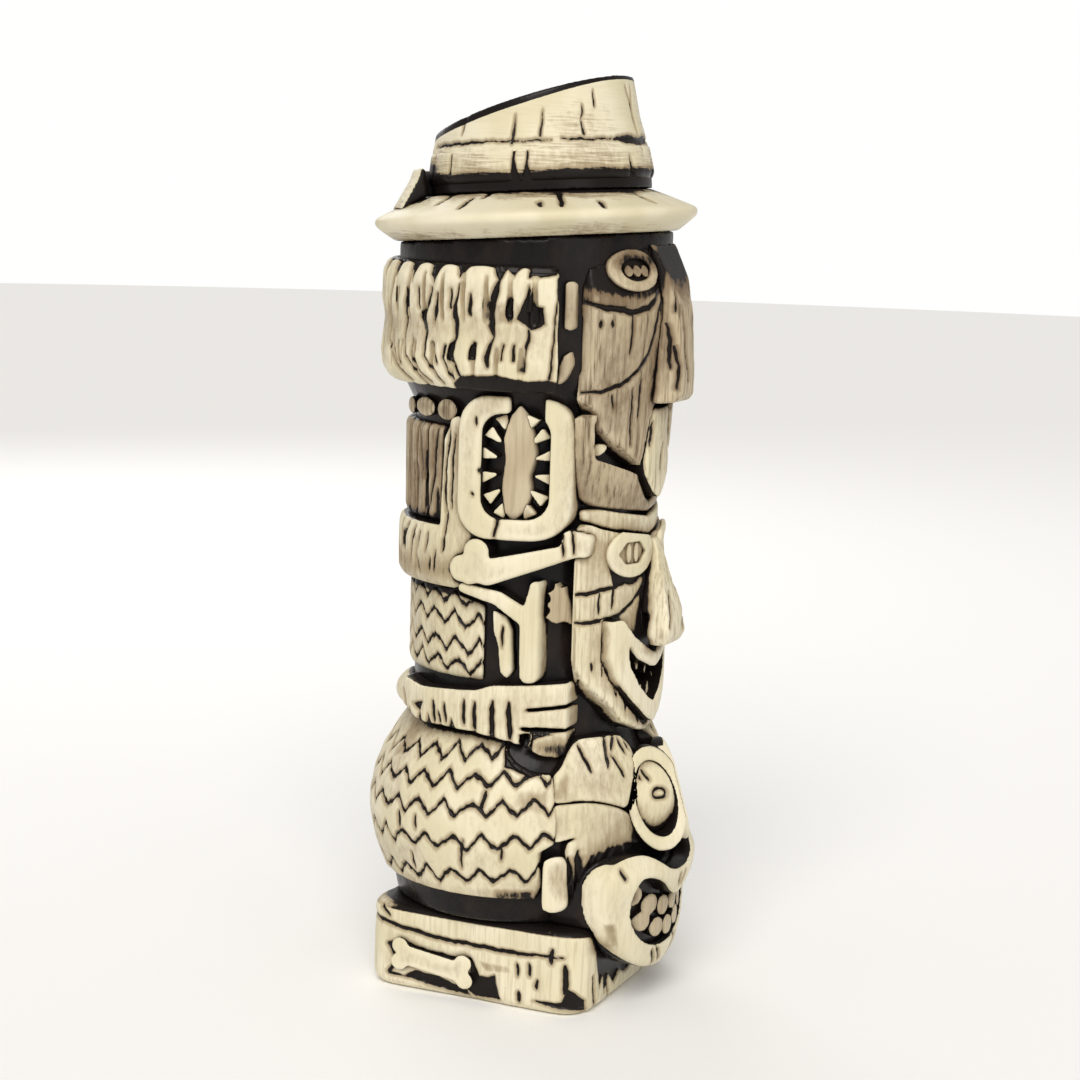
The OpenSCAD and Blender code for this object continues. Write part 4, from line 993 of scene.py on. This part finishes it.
# name: (lit clay, a lighter copy of the clay painted as lit and spread in random clouds; clay;
# brown toward the cuts and painted shade; depth where the wash starts and is full)
WASHED_GLAZES = {
    "ivory_glaze": ((0.80, 0.73, 0.55), (0.70, 0.63, 0.43), (0.36, 0.28, 0.17), 0.6, 1.1),
    # the pieces' own tan glaze, set darker so that it also paints the shade on the upper mask
    "tan_glaze": ((0.58, 0.49, 0.34), (0.46, 0.375, 0.245), (0.20, 0.14, 0.082), 0.6, 1.05),
}
# black of the wash, which also paints the shade added under the hat brim and in the lower mouth
WASH_AND_SHADE_BLACK = (0.011, 0.008, 0.007)
BLACK = (0.008, 0.007, 0.007)
BLACK_THIN = (0.022, 0.014, 0.011)
GLAZE_IOR = 1.5
GLAZE_SPECULAR = 0.14


def glaze(name, lit_clay, body, shade, wash_low, wash_high):
    """Satin glaze over clay: a painted lit tone of the clay in random clouds, brown shading, and a
    dark wash in the cuts.
    """
    g = Graph(name)
    grain, brush = g.value("grain"), g.value("brush")
    ragged = g.calc("SUBTRACT", g.noise(0.9, 2.5, 4, 0.6), 0.5)
    # brush marks run upright on the body and level on the hat
    upright, level = g.noise(1.0, 18, 3, 0.6), g.noise(0.14, 0.06, 4, 0.6)
    streak = g.calc("MULTIPLY", upright, g.calc("SUBTRACT", 1.0, brush))
    streak = g.calc("ADD", streak, g.calc("MULTIPLY", level, brush))
    cloud, fleck = g.noise(0.07, 1.5, 2, 0.5), g.noise(1.7, 1.6, 2, 0.5)
    # carved lines, with a slightly ragged edge
    ink = g.calc("ADD", g.value("ink"), g.calc("MULTIPLY", ragged, 0.5))
    inked = g.ramp(ink, 0.16, 0.0)
    # wash gathered in whatever lies below its surroundings, and the painted shade that the tables
    # add to the sink
    depth = g.calc("ADD", g.value("sink"), g.calc("MULTIPLY", ragged, 1.2))
    swing = g.calc("ADD", g.calc("MAXIMUM", grain, g.calc("MULTIPLY", brush, 2.5)), 0.4)
    depth = g.calc("ADD", depth, g.calc("MULTIPLY", g.calc("SUBTRACT", 0.5, streak), swing))
    wash_and_shade_dark = g.ramp(depth, wash_low, wash_high)
    # thin dark brush marks and flecks on grained pieces
    fine = g.ramp(g.calc("ADD", streak, g.calc("MULTIPLY", grain, -0.10)), 0.31, 0.25)
    fine = g.calc("MULTIPLY", fine, g.ramp(grain, 0.3, 0.9, 0.0, 0.4))
    flecks = g.calc("MULTIPLY", g.ramp(fleck, 0.74, 0.80, 0.0, 0.35), g.ramp(grain, 0.0, 0.3))
    walls = g.calc("ADD", g.value("black"), g.calc("MULTIPLY", ragged, 0.2))
    dark = g.calc("MAXIMUM", g.calc("MAXIMUM", inked, wash_and_shade_dark), g.calc("MAXIMUM", fine, flecks))
    dark = g.calc("MAXIMUM", dark, g.ramp(walls, 0.42, 0.58))
    # brown toward the cuts, in the brush marks and along the lines, and painted shade where the
    # tables add it to the sink
    patchy = g.calc("MULTIPLY", g.calc("SUBTRACT", cloud, 0.5), 1.6)
    browned = g.ramp(g.calc("ADD", depth, patchy), -0.8, 0.7)
    browned = g.calc("MAXIMUM", browned, g.calc("MULTIPLY", g.ramp(streak, 0.56, 0.36), grain))
    browned = g.calc("MAXIMUM", browned, g.ramp(ink, 1.1, 0.1, 0.0, 0.85))
    clay = g.mix(g.ramp(cloud, 0.35, 0.65), body, lit_clay)
    clay = g.mix(browned, clay, shade)
    g.plug(g.shader.inputs["Base Color"], g.mix(dark, clay, WASH_AND_SHADE_BLACK))
    rough = g.calc("ADD", g.ramp(dark, 0, 1, 0.42, 0.30), g.calc("MULTIPLY", ragged, 0.2))
    g.plug(g.shader.inputs["Roughness"], rough)
    hills = g.calc("MULTIPLY", g.noise(0.35, 1.2, 2), 0.6)
    height = g.calc("ADD", g.calc("MULTIPLY", streak, grain), hills)
    g.bump(g.calc("SUBTRACT", height, g.calc("MULTIPLY", dark, 0.5)), 0.3, 0.22)
    g.gloss(0.05, 0.18)
    return g.paint


def black_glaze():
    """Gloss black glaze of the vessel, with a brown cast where it runs thin."""
    g = Graph("black_glaze")
    cloud = g.noise(0.12, 1.5, 3)
    g.plug(g.shader.inputs["Base Color"], g.mix(g.ramp(cloud, 0.4, 0.75), BLACK, BLACK_THIN))
    g.plug(g.shader.inputs["Roughness"], g.ramp(g.noise(0.5, 1.5), 0.3, 0.7, 0.22, 0.38))
    g.bump(g.noise(0.28, 1.5, 2), 0.4, 0.4)
    g.gloss(0.06, 0.10)
    return g.paint


def build():
    """Shapes every piece, maps how far out the whole skin stands, then paints each piece by it."""
    slots = {entry["node"]: entry["material_slot"] for entry in frame["record"]["subparts"]}
    paints = {name: glaze(name, *settings) for name, settings in WASHED_GLAZES.items()}
    paints["black_glaze"] = black_glaze()
    pieces = {node: shaped(node) for node in sorted(frame["nodes"])}
    skin = np.zeros((HEIGHT_CELLS, TURN_CELLS))
    for piece in pieces.values():
        points = piece["points"]
        splat(skin, points, np.hypot(points[:, 0], points[:, 1]))
    skin = grown(skin, 4)
    near_map, wide_map = blurred(skin, NEAR_SPREAD), blurred(skin, WIDE_SPREAD)
    for node, piece in pieces.items():
        finished(node, piece, near_map, wide_map, paints[slots[node]])


add_camera()
add_stage()
build()
